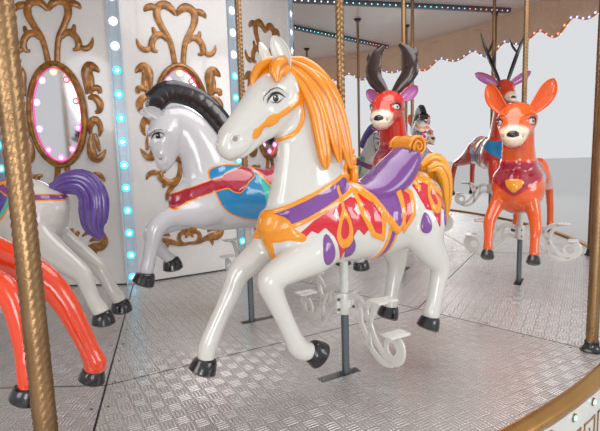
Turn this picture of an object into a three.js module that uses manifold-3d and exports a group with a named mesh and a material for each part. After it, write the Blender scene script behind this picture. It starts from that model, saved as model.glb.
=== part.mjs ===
// Fairground carousel with twelve sectors and twenty-four rising animals, in millimetres.
// The origin is at ground level under the centre of the machine, and +Z points up.
// The first seat stands at -60 degrees, and the animals travel clockwise seen from above.

import * as THREE from 'three';
import { mergeVertices } from 'three/addons/utils/BufferGeometryUtils.js';
import Module from 'manifold-3d';

const wasm = await Module();
wasm.setup();

// Driving dimensions

const sectors = 12;
const sectorAngle = (2 * Math.PI) / sectors;
const firstSeatAngle = THREE.MathUtils.degToRad(-60);
const gap = 0.3;
// How far joined pieces run into each other and cutting tools run past a face
const overlap = 10;

const deckTop = 400;
const deckThickness = 40;
const deckRadius = 5020;
const deckHoleRadius = 1800;
const slotLength = 230;
const slotWidth = 56;

const outerRing = 4261;
const innerRing = 3311;
const postRing = 4927;
const postRadius = 31;

const headroom = 2996;
const ceilingBottom = deckTop + headroom;
const ceilingThickness = 20;
const ribDepth = 60;
const ribWidth = 80;
const ribClearance = 10.3;

const coreRadius = 1970;
const coreWall = 40;
const collarWidth = 30;

const rimSegments = 36;
const valanceSegments = 96;
const trimRadius = 5085;
const trimRise = 30;
const trimDrop = 35;
const fasciaRadius = 5070;
const fasciaWall = 20;
const fasciaBottom = 60;

const valanceRadius = 5373;
const valanceWall = 27;
const valanceTop = ceilingBottom + 180;
// Heights of the scalloped edge over the deck, a half scallop apart, from a shallow lobe on
const scallops = [2520, 2615, 2460, 2615];

const joistTop = deckTop - deckThickness - gap;
const joistDepth = 100;
const joistWidth = 60;

const baseHeight = 80;
const baseReach = 4700;
const baseHubRadius = 760;
const baseSpokes = 6;
const baseSpokeWidth = 120;

const columnRadius = 200;
const columnTop = ceilingBottom - 100;
const bearingRadius = 600;
const bearingTop = 149.7;
const hubBottom = 150;
const hubBore = 210;
const hubRadius = 760;

const roofRadius = 5470;
const roofShell = 30;
const roofInner = valanceRadius - 40;
const roofEaves = valanceTop + gap;
const roofLip = 150;
const roofTop = 5050;
const roofNeck = 620;
const crownHeight = 900;

const poleRadius = 20;
const poleTop = headroom + 280;
const poleBottom = -200;
const poleSides = 6;
const bushClearance = 0.5;
const footrestThickness = 12;
const treadLength = 90;
const treadThickness = 12;
const treadWidth = 130;
// How far out and how high the treads stand
const treadPlaces = [[295, 462], [372, 335]];
const animalHeight = 2300;

// How far each pole stands ahead of the middle of its slot
const outerSway = [-40, 0, 0, 0, 0, 0, 0, 0, 0, 0, 0, -80];
const innerSway = [40, 0, 0, 0, 0, 0, 0, 0, 0, 0, 0, -80];
// How high the animals of a row stand at rest, for its four kinds by turns
const outerRise = [0, 40, 200, 90];
const innerRise = [50, 200, 90, 0];

// Colours and finishes

const paint = (color) => new THREE.MeshStandardMaterial({ color, roughness: 0.25, metalness: 0 });
const metal = (color, roughness) => new THREE.MeshStandardMaterial({ color, roughness, metalness: 1 });

const finishes = {
  brass: metal(0xb98d3e, 0.3),
  tread: metal(0xb4b3b1, 0.4),
  steel: metal(0x6c6f72, 0.45),
  gold: metal(0xc9973a, 0.35),
  white: paint(0xeceae6),
  canvas: paint(0xe4dcd6),
  peach: paint(0xd9a987),
  red: paint(0xb5262a),
  orange: paint(0xe8571c),
  coral: paint(0xd23a20),
  grey: paint(0xd5d4d6),
};

// Helpers that turn meshes into solids and back

function solid(geometry) {
  const bare = geometry.clone();
  bare.deleteAttribute('normal');
  bare.deleteAttribute('uv');
  const merged = mergeVertices(bare, 0.001);
  const triVerts = new Uint32Array(merged.index.array);
  const vertProperties = new Float32Array(merged.attributes.position.array);
  return new wasm.Manifold(new wasm.Mesh({ numProp: 3, vertProperties, triVerts }));
}

function shape(manifold) {
  const mesh = manifold.getMesh();
  const geometry = new THREE.BufferGeometry();
  geometry.setAttribute('position', new THREE.BufferAttribute(mesh.vertProperties, 3));
  geometry.setIndex(new THREE.BufferAttribute(mesh.triVerts, 1));
  return geometry;
}

function join(geometries) {
  const [first, ...rest] = geometries.map(solid);
  return shape(rest.reduce((whole, piece) => whole.add(piece), first));
}

function cut(geometry, tools) {
  return shape(tools.map(solid).reduce((whole, tool) => whole.subtract(tool), solid(geometry)));
}

// A closed ring around the Z axis, from pairs of radius and height
function ring(profile, segments, startAngle = 0) {
  const points = [...profile, profile[0]].map(([radius, height]) => new THREE.Vector2(radius, height));
  const geometry = new THREE.LatheGeometry(points, segments);
  geometry.rotateX(Math.PI / 2);
  geometry.rotateZ(startAngle + Math.PI / 2);
  return geometry;
}

function tube(inner, outer, bottom, top, segments, startAngle = 0) {
  const profile = [[inner, bottom], [outer, bottom], [outer, top], [inner, top]];
  return ring(profile, segments, startAngle);
}

function upright(radius, bottom, top, sides) {
  const geometry = new THREE.CylinderGeometry(radius, radius, top - bottom, sides);
  geometry.rotateX(Math.PI / 2);
  geometry.translate(0, 0, (top + bottom) / 2);
  return geometry;
}

// A bar along a radius at the given angle
function radialBar(inner, outer, width, bottom, top, angle) {
  const geometry = new THREE.BoxGeometry(outer - inner, width, top - bottom);
  geometry.translate((inner + outer) / 2, 0, (bottom + top) / 2);
  geometry.rotateZ(angle);
  return geometry;
}

function around(count, startAngle, make) {
  return Array.from({ length: count }, (_, i) => make(startAngle + (i * 2 * Math.PI) / count, i));
}

// A round plate with the twelve-sided hole of the core
function plate(radius, bottom, top, segments) {
  const hole = upright(deckHoleRadius, bottom - overlap, top + overlap, sectors).rotateZ(seamAngle);
  return cut(upright(radius, bottom, top, segments), [hole]);
}

// A limb: rings of elliptical section along a path. A station is x, y, z, half width, half depth.
function limb(stations, sides) {
  const geometry = new THREE.CylinderGeometry(1, 1, stations.length - 1, sides, stations.length - 1);
  const position = geometry.attributes.position;
  const centres = stations.map(([x, y, z]) => new THREE.Vector3(x, y, z));
  for (let i = 0; i < position.count; i += 1) {
    const row = Math.round((stations.length - 1) / 2 - position.getY(i));
    const before = centres[Math.max(row - 1, 0)];
    const after = centres[Math.min(row + 1, centres.length - 1)];
    const along = after.clone().sub(before).normalize();
    const side = new THREE.Vector3(0, 1, 0).projectOnPlane(along).normalize();
    const across = along.clone().cross(side);
    const [, , , halfWidth, halfDepth] = stations[row];
    const point = centres[row].clone();
    point.addScaledVector(side, position.getX(i) * halfWidth);
    point.addScaledVector(across, position.getZ(i) * halfDepth);
    position.setXYZ(i, point.x, point.y, point.z);
  }
  return geometry;
}

// Fixed base

const seamAngle = firstSeatAngle + sectorAngle / 2;

function baseFrame() {
  const spokes = around(baseSpokes, seamAngle, (angle) => {
    return radialBar(baseHubRadius / 2, baseReach, baseSpokeWidth, 0, baseHeight, angle);
  });
  return join([upright(baseHubRadius, 0, baseHeight, sectors), ...spokes]);
}

function centreColumn() {
  const flange = upright(bearingRadius, baseHeight + gap, bearingTop, sectors * 2);
  return join([flange, upright(columnRadius, baseHeight + gap, columnTop, sectors)]);
}

// Turntable

function deckFrame() {
  const start = (hubBore + hubRadius) / 2;
  const end = (fasciaRadius - fasciaWall) * Math.cos(Math.PI / rimSegments) - gap;
  const joists = around(sectors, seamAngle, (angle) => {
    return radialBar(start, end, joistWidth, joistTop - joistDepth, joistTop, angle);
  });
  return join([tube(hubBore, hubRadius, hubBottom, joistTop, sectors * 2), ...joists]);
}

function deck() {
  const slots = [outerRing, innerRing].flatMap((radius) => {
    return around(sectors, firstSeatAngle, (angle) => {
      const slot = new THREE.BoxGeometry(slotWidth, slotLength, deckThickness * 2);
      return slot.translate(radius, 0, deckTop).rotateZ(angle);
    });
  });
  return cut(plate(deckRadius, deckTop - deckThickness, deckTop, rimSegments), slots);
}

function rimTrim() {
  const middle = (deckRadius + gap + trimRadius) / 2;
  const profile = [
    [deckRadius + gap, deckTop - trimDrop],
    [trimRadius, deckTop - trimDrop],
    [middle, deckTop + trimRise],
    [deckRadius + gap, deckTop],
  ];
  return ring(profile, rimSegments);
}

function fascia() {
  const top = deckTop - trimDrop - gap;
  return tube(fasciaRadius - fasciaWall, fasciaRadius, fasciaBottom, top, rimSegments);
}

function coreDrum() {
  const bottom = deckTop + gap;
  const top = ceilingBottom - gap;
  return tube(coreRadius - coreWall, coreRadius, bottom, top, sectors, seamAngle);
}

function postFrame() {
  const ribTop = ceilingBottom - gap;
  const ribBottom = ribTop - ribDepth;
  const collarInner = coreRadius + gap;
  const collar = tube(collarInner, collarInner + collarWidth, ribBottom, ribTop, sectors, seamAngle);
  const ribStart = collarInner + collarWidth / 2;
  const ribEnd = valanceRadius - ribClearance;
  const ribs = around(sectors, seamAngle, (angle) => {
    return radialBar(ribStart, ribEnd, ribWidth, ribBottom, ribTop, angle);
  });
  const posts = around(sectors, seamAngle, (angle) => {
    const post = upright(postRadius, deckTop + gap, ribBottom + overlap, poleSides);
    return post.translate(postRing, 0, 0).rotateZ(angle);
  });
  return join([collar, ...ribs, ...posts]);
}

function ceiling() {
  const top = ceilingBottom + ceilingThickness;
  const reach = poleRadius + bushClearance / Math.cos(Math.PI / poleSides);
  const rows = [[outerRing, outerSway], [innerRing, innerSway]];
  const holes = rows.flatMap(([radius, sways]) => {
    return around(sectors, firstSeatAngle, (angle, i) => {
      const hole = upright(reach, ceilingBottom - overlap, top + overlap, poleSides);
      hole.rotateZ(Math.PI / 2);
      return hole.translate(radius, -sways[i], 0).rotateZ(angle);
    });
  });
  return cut(plate(valanceRadius - gap, ceilingBottom, top, valanceSegments), holes);
}

// The lower edge has four lobes in each sector, a shallow and a deep one by turns
function valance() {
  const geometry = tube(valanceRadius, valanceRadius + valanceWall, 0, valanceTop, valanceSegments);
  const position = geometry.attributes.position;
  for (let i = 0; i < position.count; i += 1) {
    if (position.getZ(i) < 1) {
      const turn = Math.atan2(position.getY(i), position.getX(i)) + 2 * Math.PI;
      const step = Math.round((turn * valanceSegments) / (2 * Math.PI)) % scallops.length;
      position.setZ(i, deckTop + scallops[step]);
    }
  }
  return geometry;
}

function roof() {
  const profile = [
    [roofInner, roofEaves],
    [roofRadius, roofEaves],
    [roofRadius, roofEaves + roofLip],
    [roofNeck, roofTop],
    [roofNeck, roofTop - roofShell],
    [roofInner, roofEaves + roofLip - roofShell],
  ];
  return ring(profile, sectors * 2);
}

function crown() {
  const bottom = roofTop + gap;
  const profile = [
    [0, bottom],
    [roofNeck, bottom],
    [roofNeck * 0.8, bottom + crownHeight * 0.15],
    [roofNeck * 0.8, bottom + crownHeight * 0.35],
    [roofNeck * 0.25, bottom + crownHeight * 0.5],
    [roofNeck * 0.2, bottom + crownHeight * 0.62],
    [roofNeck * 0.3, bottom + crownHeight * 0.72],
    [roofNeck * 0.2, bottom + crownHeight * 0.82],
    [0, bottom + crownHeight],
  ];
  return ring(profile, sectors);
}

// Seats. A seat has x forward, y outward and z up from the deck, with its pole at the origin.

const footrestSide = [
  [0, 425], [230, 456], [360, 456], [200, 365], [225, 262],
  [365, 329], [430, 329], [340, 195], [225, 200], [0, 320],
];

function footrest() {
  const otherSide = footrestSide.slice(1, -1).reverse().map(([out, height]) => [-out, height]);
  const points = [...footrestSide, ...otherSide].map(([out, height]) => new THREE.Vector2(out, height));
  const settings = { depth: footrestThickness, bevelEnabled: false };
  const arms = new THREE.ExtrudeGeometry(new THREE.Shape(points), settings);
  arms.translate(0, 0, -footrestThickness / 2);
  arms.rotateX(Math.PI / 2);
  arms.rotateZ(Math.PI / 2);
  return arms;
}

function tread(out, height) {
  return new THREE.BoxGeometry(treadLength, treadWidth, treadThickness).translate(0, out, height);
}

// The ends of all poles are level at rest, so a raised seat has its pole lower in its own frame
function pole(rise) {
  const bar = upright(poleRadius, poleBottom - rise, poleTop - rise, poleSides);
  const treads = treadPlaces.flatMap(([out, height]) => [tread(out, height), tread(-out, height)]);
  return join([bar, footrest(), ...treads]);
}

// Moulds. Bodies, necks and tails run from front to back or from the chest to the nose.

const horseBody = [
  [440, 0, 770, 60, 80], [290, 0, 750, 140, 185], [-120, 0, 725, 160, 170],
  [-400, 0, 830, 150, 215], [-555, 0, 860, 70, 100],
];
const deerBody = [
  [405, 0, 790, 65, 85], [270, 0, 755, 145, 175], [-120, 0, 725, 150, 160],
  [-370, 0, 790, 145, 190], [-490, 0, 820, 60, 90],
];
const stagBody = [
  [405, 0, 830, 65, 90], [270, 0, 800, 145, 190], [-120, 0, 780, 150, 175],
  [-370, 0, 840, 150, 205], [-490, 0, 870, 60, 95],
];
const deerTail = [[-450, 0, 850, 40, 50], [-590, 0, 930, 15, 20]];

// The near leg of each pair comes first
const foldedFore = [
  [[140, 85, 665, 70, 95], [430, 115, 580, 50, 58], [240, 115, 200, 37, 40]],
  [[330, -85, 690, 65, 90], [500, -100, 560, 42, 46], [680, -100, 120, 38, 38]],
];
const raisedFore = [
  [[290, 85, 690, 65, 90], [590, 115, 640, 48, 54], [690, 118, 325, 37, 38]],
  [[320, -85, 670, 65, 90], [575, -110, 600, 46, 52], [430, -118, 360, 37, 40]],
];
const hangingFore = [
  [[290, 80, 740, 62, 88], [430, 145, 430, 42, 46], [500, 142, 200, 36, 36]],
  [[300, -80, 740, 62, 88], [490, -155, 490, 42, 46], [570, -148, 270, 36, 36]],
];
const standingHind = [
  [[-380, 85, 740, 70, 120], [-530, 118, 490, 36, 46], [-450, 120, 165, 36, 36]],
  [[-360, -85, 720, 70, 110], [-430, -118, 490, 36, 46], [-385, -120, 180, 36, 36]],
];
const stretchedHind = [
  [[-380, 85, 740, 75, 125], [-715, 112, 470, 40, 46], [-840, 118, 225, 36, 36]],
  [[-360, -85, 720, 75, 120], [-715, -112, 450, 40, 46], [-850, -118, 210, 36, 36]],
];
const leapingHind = [
  [[-360, 85, 800, 75, 120], [-1000, 130, 655, 44, 54], [-1090, 150, 190, 36, 36]],
  [[-350, -85, 790, 75, 115], [-960, -130, 640, 44, 54], [-1060, -150, 180, 36, 36]],
];

const charger = {
  limbs: [
    horseBody,
    [
      [170, 0, 800, 115, 215], [180, 0, 1120, 85, 150], [270, 0, 1375, 75, 120],
      [440, 0, 1215, 55, 85], [590, 0, 1100, 42, 52],
    ],
    [[-450, 0, 880, 45, 60], [-640, 0, 990, 45, 60], [-670, 0, 670, 25, 30]],
  ],
  pairs: [[[255, 38, 1410, 40, 34], [325, 80, 1552, 5, 5]]],
  legs: [...foldedFore, ...standingHind],
};

// Its neck arches, its head is tucked in, and a clipped mane stands along the neck
const prancer = {
  limbs: [
    horseBody,
    [[190, 0, 800, 115, 215], [265, 0, 1010, 92, 150], [320, 0, 1150, 78, 118], [455, 0, 1235, 70, 80]],
    [[455, 0, 1255, 66, 70], [490, 0, 1150, 70, 88], [495, 0, 1065, 60, 80], [503, 0, 990, 48, 50]],
    [
      [110, 0, 1160, 34, 66], [200, 0, 1290, 36, 70], [340, 0, 1375, 36, 74],
      [470, 0, 1380, 36, 70], [535, 0, 1340, 30, 45],
    ],
    [[-470, 0, 900, 45, 55], [-720, 0, 945, 55, 60], [-765, 0, 640, 30, 40]],
  ],
  pairs: [[[495, 30, 1205, 34, 34], [605, 68, 1285, 5, 5]]],
  legs: [...raisedFore, ...stretchedHind],
};

const deerNeck = [
  [200, 0, 790, 112, 180], [290, 0, 1010, 92, 112], [340, 0, 1235, 112, 108],
  [455, 0, 1175, 98, 86], [572, 0, 1105, 68, 52],
];
const deerEar = [[330, 58, 1255, 48, 48], [300, 212, 1495, 6, 6]];
const palmateAntler = [
  [330, 30, 1300, 26, 26], [305, 130, 1430, 26, 50], [300, 150, 1570, 22, 60], [290, 60, 1705, 10, 36],
];

const deer = {
  limbs: [deerBody, deerNeck, deerTail],
  pairs: [deerEar],
  legs: [...hangingFore, ...leapingHind],
};
const reindeer = {
  limbs: [deerBody, deerNeck, deerTail],
  pairs: [deerEar, palmateAntler],
  legs: [...hangingFore, ...standingHind],
};
const stag = {
  limbs: [
    stagBody,
    [
      [200, 0, 830, 112, 190], [270, 0, 1160, 86, 118], [320, 0, 1500, 96, 104],
      [450, 0, 1450, 80, 80], [572, 0, 1365, 55, 48],
    ],
    deerTail,
  ],
  pairs: [
    [[325, 48, 1520, 45, 45], [295, 320, 1695, 6, 6]],
    [[320, 34, 1535, 30, 30], [265, 150, 1870, 20, 20], [290, 262, 2140, 6, 6]],
  ],
  legs: [...hangingFore, ...leapingHind],
};

function mirrored(stations) {
  return stations.map(([x, y, z, halfWidth, halfDepth]) => [x, -y, z, halfWidth, halfDepth]);
}

function animal({ limbs, pairs, legs }) {
  const [body, neck, ...others] = limbs;
  const pieces = [
    limb(body, 6),
    ...[neck, ...legs, ...others].map((stations) => limb(stations, 4)),
    ...pairs.flatMap((stations) => [limb(stations, 3), limb(mirrored(stations), 3)]),
  ];
  return cut(join(pieces), [upright(poleRadius + gap, 0, animalHeight, poleSides)]);
}

const moulds = {
  charger: animal(charger),
  prancer: animal(prancer),
  deer: animal(deer),
  stag: animal(stag),
  reindeer: animal(reindeer),
};

const outerRow = [
  ['horse', 'charger', finishes.white],
  ['fawn', 'deer', finishes.orange],
  ['stag', 'stag', finishes.coral],
  ['deer', 'deer', finishes.coral],
];
const innerRow = [
  ['horse', 'prancer', finishes.grey],
  ['reindeer', 'reindeer', finishes.red],
  ['horse', 'prancer', finishes.white],
  ['horse', 'prancer', finishes.white],
];

function number(i) {
  return String(i + 1).padStart(2, '0');
}

function addSeat(parent, row, i, radius, sway, rise, [kind, mould, material]) {
  const angle = firstSeatAngle + i * sectorAngle;
  const seat = new THREE.Group();
  seat.rotation.z = angle - Math.PI / 2;
  seat.position.set(radius * Math.cos(angle), radius * Math.sin(angle), deckTop + rise);
  seat.position.x += sway * Math.sin(angle);
  seat.position.y -= sway * Math.cos(angle);
  add(seat, `${row}_pole_${number(i)}`, pole(rise), finishes.brass);
  add(seat, `${row}_${kind}_${number(i)}`, moulds[mould], material);
  parent.add(seat);
}

function add(parent, name, geometry, material) {
  const mesh = new THREE.Mesh(geometry, material);
  mesh.name = name;
  parent.add(mesh);
}

const carousel = new THREE.Group();
add(carousel, 'base_frame', baseFrame(), finishes.steel);
add(carousel, 'centre_column', centreColumn(), finishes.steel);
add(carousel, 'deck_frame', deckFrame(), finishes.steel);
add(carousel, 'deck', deck(), finishes.tread);
add(carousel, 'rim_trim', rimTrim(), finishes.gold);
add(carousel, 'fascia', fascia(), finishes.white);
add(carousel, 'core_drum', coreDrum(), finishes.white);
add(carousel, 'post_frame', postFrame(), finishes.brass);
add(carousel, 'ceiling', ceiling(), finishes.canvas);
add(carousel, 'valance', valance(), finishes.peach);
add(carousel, 'roof', roof(), finishes.canvas);
add(carousel, 'crown', crown(), finishes.gold);
for (let i = 0; i < sectors; i += 1) {
  const kind = i % outerRow.length;
  addSeat(carousel, 'outer', i, outerRing, outerSway[i], outerRise[kind], outerRow[kind]);
  addSeat(carousel, 'inner', i, innerRing, innerSway[i], innerRise[kind], innerRow[kind]);
}

export default carousel;
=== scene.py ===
"""Fairground carousel: the finished surfaces of the machine, worked out with numpy around its frame."""

from functools import cache
from math import cos, pi, radians, sin

import bmesh
import bpy
import numpy as np
from bpy.props import FloatProperty, FloatVectorProperty, IntProperty, PointerProperty
from mathutils import Matrix, Vector
from mathutils.bvhtree import BVHTree


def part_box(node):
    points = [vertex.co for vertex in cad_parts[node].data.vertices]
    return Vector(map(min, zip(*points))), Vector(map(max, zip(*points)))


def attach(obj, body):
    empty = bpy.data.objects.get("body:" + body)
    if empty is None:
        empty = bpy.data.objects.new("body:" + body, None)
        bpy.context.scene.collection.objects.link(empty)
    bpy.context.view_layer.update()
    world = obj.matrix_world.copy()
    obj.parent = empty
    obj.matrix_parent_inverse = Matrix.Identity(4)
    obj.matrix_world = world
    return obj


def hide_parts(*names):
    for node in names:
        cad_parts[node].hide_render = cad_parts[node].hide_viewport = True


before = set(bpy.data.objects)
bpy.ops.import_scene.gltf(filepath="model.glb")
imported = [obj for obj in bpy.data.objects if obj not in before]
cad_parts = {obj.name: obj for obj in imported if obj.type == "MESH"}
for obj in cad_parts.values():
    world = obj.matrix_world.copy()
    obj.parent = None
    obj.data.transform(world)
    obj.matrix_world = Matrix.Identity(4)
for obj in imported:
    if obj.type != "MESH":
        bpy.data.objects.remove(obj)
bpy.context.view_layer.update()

bl_info = {
    "name": "Fairground Carousel",
    "version": (1, 0, 0),
    "blender": (4, 5, 0),
    "location": "View3D > Sidebar > Carousel",
    "description": "Dresses the carousel frame with its carved, plated, painted and lit surfaces",
    "category": "Add Mesh",
}

# Places taken from the frame, in metres and radians

SECTORS = 12
SECTOR = 2 * pi / SECTORS
SEAM = SECTOR / 2
FIRST_SEAT = radians(-60)
DECK_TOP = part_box("deck")[1][2]
DECK_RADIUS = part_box("deck")[1][0]
TRIM_LOW, TRIM_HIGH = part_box("rim_trim")
TRIM_RADIUS = TRIM_HIGH[0]
FASCIA_LOW, FASCIA_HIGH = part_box("fascia")
FASCIA_RADIUS = FASCIA_HIGH[0]
CORE_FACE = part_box("core_drum")[1][0]
CORE_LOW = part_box("core_drum")[0][2]
CORE_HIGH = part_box("core_drum")[1][2]
CORE_CORNER = CORE_FACE / cos(SEAM)
CEILING_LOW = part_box("ceiling")[0][2]
VALANCE_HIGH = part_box("valance")[1]
VALANCE_RADIUS = VALANCE_HIGH[0]
ROOF_LOW, ROOF_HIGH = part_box("roof")
CROWN_LOW, CROWN_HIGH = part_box("crown")

POST_RING = 4.927
POST_RADIUS = 0.031
RIB_DEPTH = 0.06
POLE_RADIUS = 0.02
POLE_LOW = -0.2
POLE_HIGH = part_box("outer_pole_02")[1][2] - DECK_TOP

# The lens: its place in metres, its focal length in millimetres and its angles

CAMERA_PLACE = (1.977, -5.979, 1.50)
CAMERA_LENS = 29.5
CAMERA_PITCH = radians(7.64)
CAMERA_ROLL = radians(-1.69)
CAMERA_YAW = radians(0.39)


def linear(hex_colour):
    """The linear colour of a six-digit screen colour: each channel over 255, to the display's curve."""
    channels = [int(hex_colour[start:start + 2], 16) / 255 for start in (0, 2, 4)]
    return tuple(c / 12.92 if c <= 0.04045 else ((c + 0.055) / 1.055) ** 2.4 for c in channels)


def colour(label, hex_colour):
    """A colour property with its default."""
    return FloatVectorProperty(name=label, description=f"{label} colour", subtype="COLOR", size=3,
                               min=0, max=1, default=linear(hex_colour))


def length(label, value, description):
    """A length property in metres."""
    return FloatProperty(name=label, description=description, default=value, min=0.001,
                         unit="LENGTH", subtype="DISTANCE")


class CarouselColours(bpy.types.PropertyGroup):
    brass: colour("Brass", "AE8B65")
    gilt: colour("Carved gilt", "B0742E")
    bronze: colour("Rim bronze", "B98A4E")
    plate: colour("Tread plate", "F1EEEC")
    channel: colour("Corner channel", "C2D3E0")
    panel: colour("Centre panel", "E4E3E1")
    ceiling: colour("Ceiling", "E6DDD4")
    peach: colour("Rounding board", "FBDABB")
    canvas: colour("Roof cover", "EADFD2")
    steel: colour("Painted steel", "6E767B")
    dark_steel: colour("Dark steel", "3E4246")
    white: colour("White gloss", "DEDCD5")
    grey_white: colour("Grey-white gloss", "CFD0D4")
    black: colour("Black gloss", "15161A")
    night: colour("Dark mane", "10121C")
    # Painted shade for the pit of a horse's nostril.
    pit: colour("Nostril shade", "A89C92")
    orange: colour("Harness orange", "F39A1E")
    yellow: colour("Tail yellow", "F2AE1F")
    purple: colour("Harness purple", "7B4393")
    red: colour("Cloth red", "D3162B")
    crimson: colour("Strap crimson", "A82038")
    blue: colour("Cloth blue", "1F86BE")
    turquoise: colour("Lining turquoise", "3FBFB0")
    mane: colour("Mane orange", "F29412")
    tail: colour("Tail yellow orange", "F4A412")
    magenta: colour("Dot magenta", "D0207E")
    pink: colour("Ear pink", "B565A8")
    violet: colour("Violet hair", "5B459C")
    deer_orange: colour("Fawn orange", "F0601A")
    deer_brown: colour("Stag red", "DA3A18")
    deer_red: colour("Deer red", "EE4317")
    reindeer: colour("Reindeer red", "DB2A14")
    cream: colour("Muzzle cream", "F2DCC2")
    antler: colour("Dark antler", "33201D")


class CarouselSizes(bpy.types.PropertyGroup):
    bulb: length("Bulb radius", 0.014, "Radius of a bulb's dome")
    rim_bulb_step: length("Rim bulb spacing", 0.2, "Distance between the bulbs under the rim")
    channel_bulb_step: length("Channel bulb spacing", 0.19, "Distance between the bulbs of a corner")
    rib_bulb_step: length("Rib bulb spacing", 0.085, "Distance between the beads along a rib")
    edge_bulb_step: length("Edge bulb spacing", 0.125, "Distance between the beads of the scallops")
    twist_lead: length("Twist lead", 0.15, "Height of one turn of a pole's twist")
    post_lead: length("Post twist lead", 0.2, "Height of one turn of a post's twist")
    front_grain: length("Front figure grain", 0.0095, "Mesh grain of the figure nearest the lens")
    near_grain: length("Near figure grain", 0.016, "Mesh grain of the figures near the lens")
    far_grain: length("Far figure grain", 0.022, "Mesh grain of the other figures")
    rim_steps: IntProperty(name="Rim steps", description="Steps round the rim", default=180, min=36)


def sizes():
    """The sizes of the panel."""
    return bpy.context.scene.carousel_sizes


def shade(name, share=1.0):
    """A named colour of the panel as four numbers, its channels times a share, or a share each."""
    tint = getattr(bpy.context.scene.carousel_colours, name)
    return (*(channel * part for channel, part in zip(tint, np.broadcast_to(share, 3))), 1.0)


# Finishes

def arithmetic(operation, turned=False):
    """A method that adds a Math node of the mark and the other values, in turned order if asked."""
    def method(mark, *others):
        return mark.finish.math(operation, *((*others, mark) if turned else (mark, *others)))
    return method


class Mark:
    """A socket. Arithmetic on it adds Math nodes, also where a plain number stands first."""

    def __init__(self, finish, socket):
        self.finish = finish
        self.socket = socket

    __add__ = __radd__ = arithmetic("ADD")
    __mul__ = __rmul__ = arithmetic("MULTIPLY")
    __sub__ = arithmetic("SUBTRACT")
    __rsub__ = arithmetic("SUBTRACT", True)
    __truediv__ = arithmetic("DIVIDE")
    __abs__ = arithmetic("ABSOLUTE")


class Finish:
    """One painted, plated or lit surface: a material with its Principled shader."""

    def __init__(self, name, fixed):
        self.material = bpy.data.materials.new(name)
        self.material.use_nodes = True
        self.tree = self.material.node_tree
        self.shader = self.tree.nodes["Principled BSDF"]
        for socket, value in fixed.items():
            self.shader.inputs[socket].default_value = value

    def node(self, kind, settings=None, sockets=None, output=0):
        """Adds a node: first its settings, then its sockets' values or links. Returns one output."""
        node = self.tree.nodes.new(kind)
        for key, value in (settings or {}).items():
            setattr(node, key, value)
        for key, value in (sockets or {}).items():
            if isinstance(value, Mark):
                self.tree.links.new(value.socket, node.inputs[key])
            else:
                node.inputs[key].default_value = value
        return Mark(self, node.outputs[output])

    def math(self, operation, *values):
        return self.node("ShaderNodeMath", {"operation": operation}, dict(enumerate(values)))

    def feed(self, socket, value):
        self.tree.links.new(value.socket, self.shader.inputs[socket])

    def blend(self, factor, first, second):
        """A colour between two: first where the factor is 0, second where it is 1."""
        return self.node("ShaderNodeMix", {"data_type": "RGBA"}, {0: factor, 6: first, 7: second}, 2)

    def rise(self, value, low, high):
        """A smooth step of a value from 0 at low to 1 at high."""
        return self.node("ShaderNodeMapRange", {"interpolation_type": "SMOOTHSTEP"},
                         {"Value": value, "From Min": low, "From Max": high})

    def place(self):
        return self.node("ShaderNodeTexCoord", output=3)

    def axes(self):
        """The x, y and z of the object's own coordinates."""
        split = self.node("ShaderNodeSeparateXYZ", sockets={0: self.place()}).socket.node
        return [Mark(self, socket) for socket in split.outputs]

    def mark(self, name):
        """A paint mark that the mesh carries at its points."""
        return self.node("ShaderNodeAttribute", {"attribute_name": name}, output=2)

    def speckle(self, scale, detail=3.0, roughness=0.55):
        """Noise between 0 and 1 on the object's own coordinates."""
        return self.node("ShaderNodeTexNoise", None, {
            "Vector": self.place(), "Scale": scale, "Detail": detail, "Roughness": roughness})

    def emboss(self, height, distance):
        """A bump from a height of 0 to 1, as deep as the distance."""
        self.feed("Normal", self.node("ShaderNodeBump", None, {"Height": height, "Distance": distance}))


def gloss(finish, low, spread, scale):
    """Roughness that wanders by its spread with the noise."""
    finish.feed("Roughness", finish.speckle(scale) * spread + low)


def weathered(name, fixed, tint, share, worn, rough, ripple, depth, edges=None):
    """A finish whose tone wanders from a darker share of the tint to the tint with noise of the worn
    scale and detail, sharpened between two edges if given. Roughness and ripple have their own noise."""
    finish = Finish(name, fixed)
    factor = finish.speckle(*worn)
    if edges:
        factor = finish.rise(factor, *edges)
    finish.feed("Base Color", finish.blend(factor, shade(tint, share), shade(tint)))
    gloss(finish, *rough)
    finish.emboss(finish.speckle(*ripple), depth)
    return finish.material


@cache
def plain(name):
    """Sprayed gloss paint: its tone drifts a little, and its skin has a fine ripple."""
    return weathered(name, {"Coat Weight": 0.6, "Coat Roughness": 0.06}, name, 0.82, (3.0,),
                     (0.2, 0.12, 14.0), (60.0,), 0.0006)


@cache
def brass():
    return weathered("brass", {"Metallic": 1.0}, "brass", 0.5, (9.0,), (0.24, 0.22, 25.0), (150.0,), 0.0008)


@cache
def gilt():
    """Brown-gold wax over carving, darker in its streaks."""
    return weathered("gilt", {"Metallic": 0.45, "Coat Weight": 0.5, "Coat Roughness": 0.12}, "gilt", 0.45,
                     (22.0, 4.0), (0.24, 0.2, 30.0), (80.0,), 0.0015, (0.35, 0.7))


@cache
def bronze():
    return weathered("bronze", {"Metallic": 0.85}, "bronze", 0.7, (6.0,), (0.2, 0.2, 18.0), (90.0,), 0.0005)


@cache
def brushed(name, roughness):
    """Painted or bare steel with fine scuffs."""
    scuff = (40.0, 5.0)
    return weathered(name, {"Metallic": 0.7}, name, 0.7, scuff, (roughness, 0.2, 30.0), scuff, 0.0004)


@cache
def mirror():
    finish = Finish("mirror", {"Metallic": 1.0})
    haze = finish.speckle(2.0)
    finish.feed("Base Color", finish.blend(haze, (0.7, 0.69, 0.71, 1), (0.8, 0.78, 0.8, 1)))
    gloss(finish, 0.04, 0.05, 5.0)
    return finish.material


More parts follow.
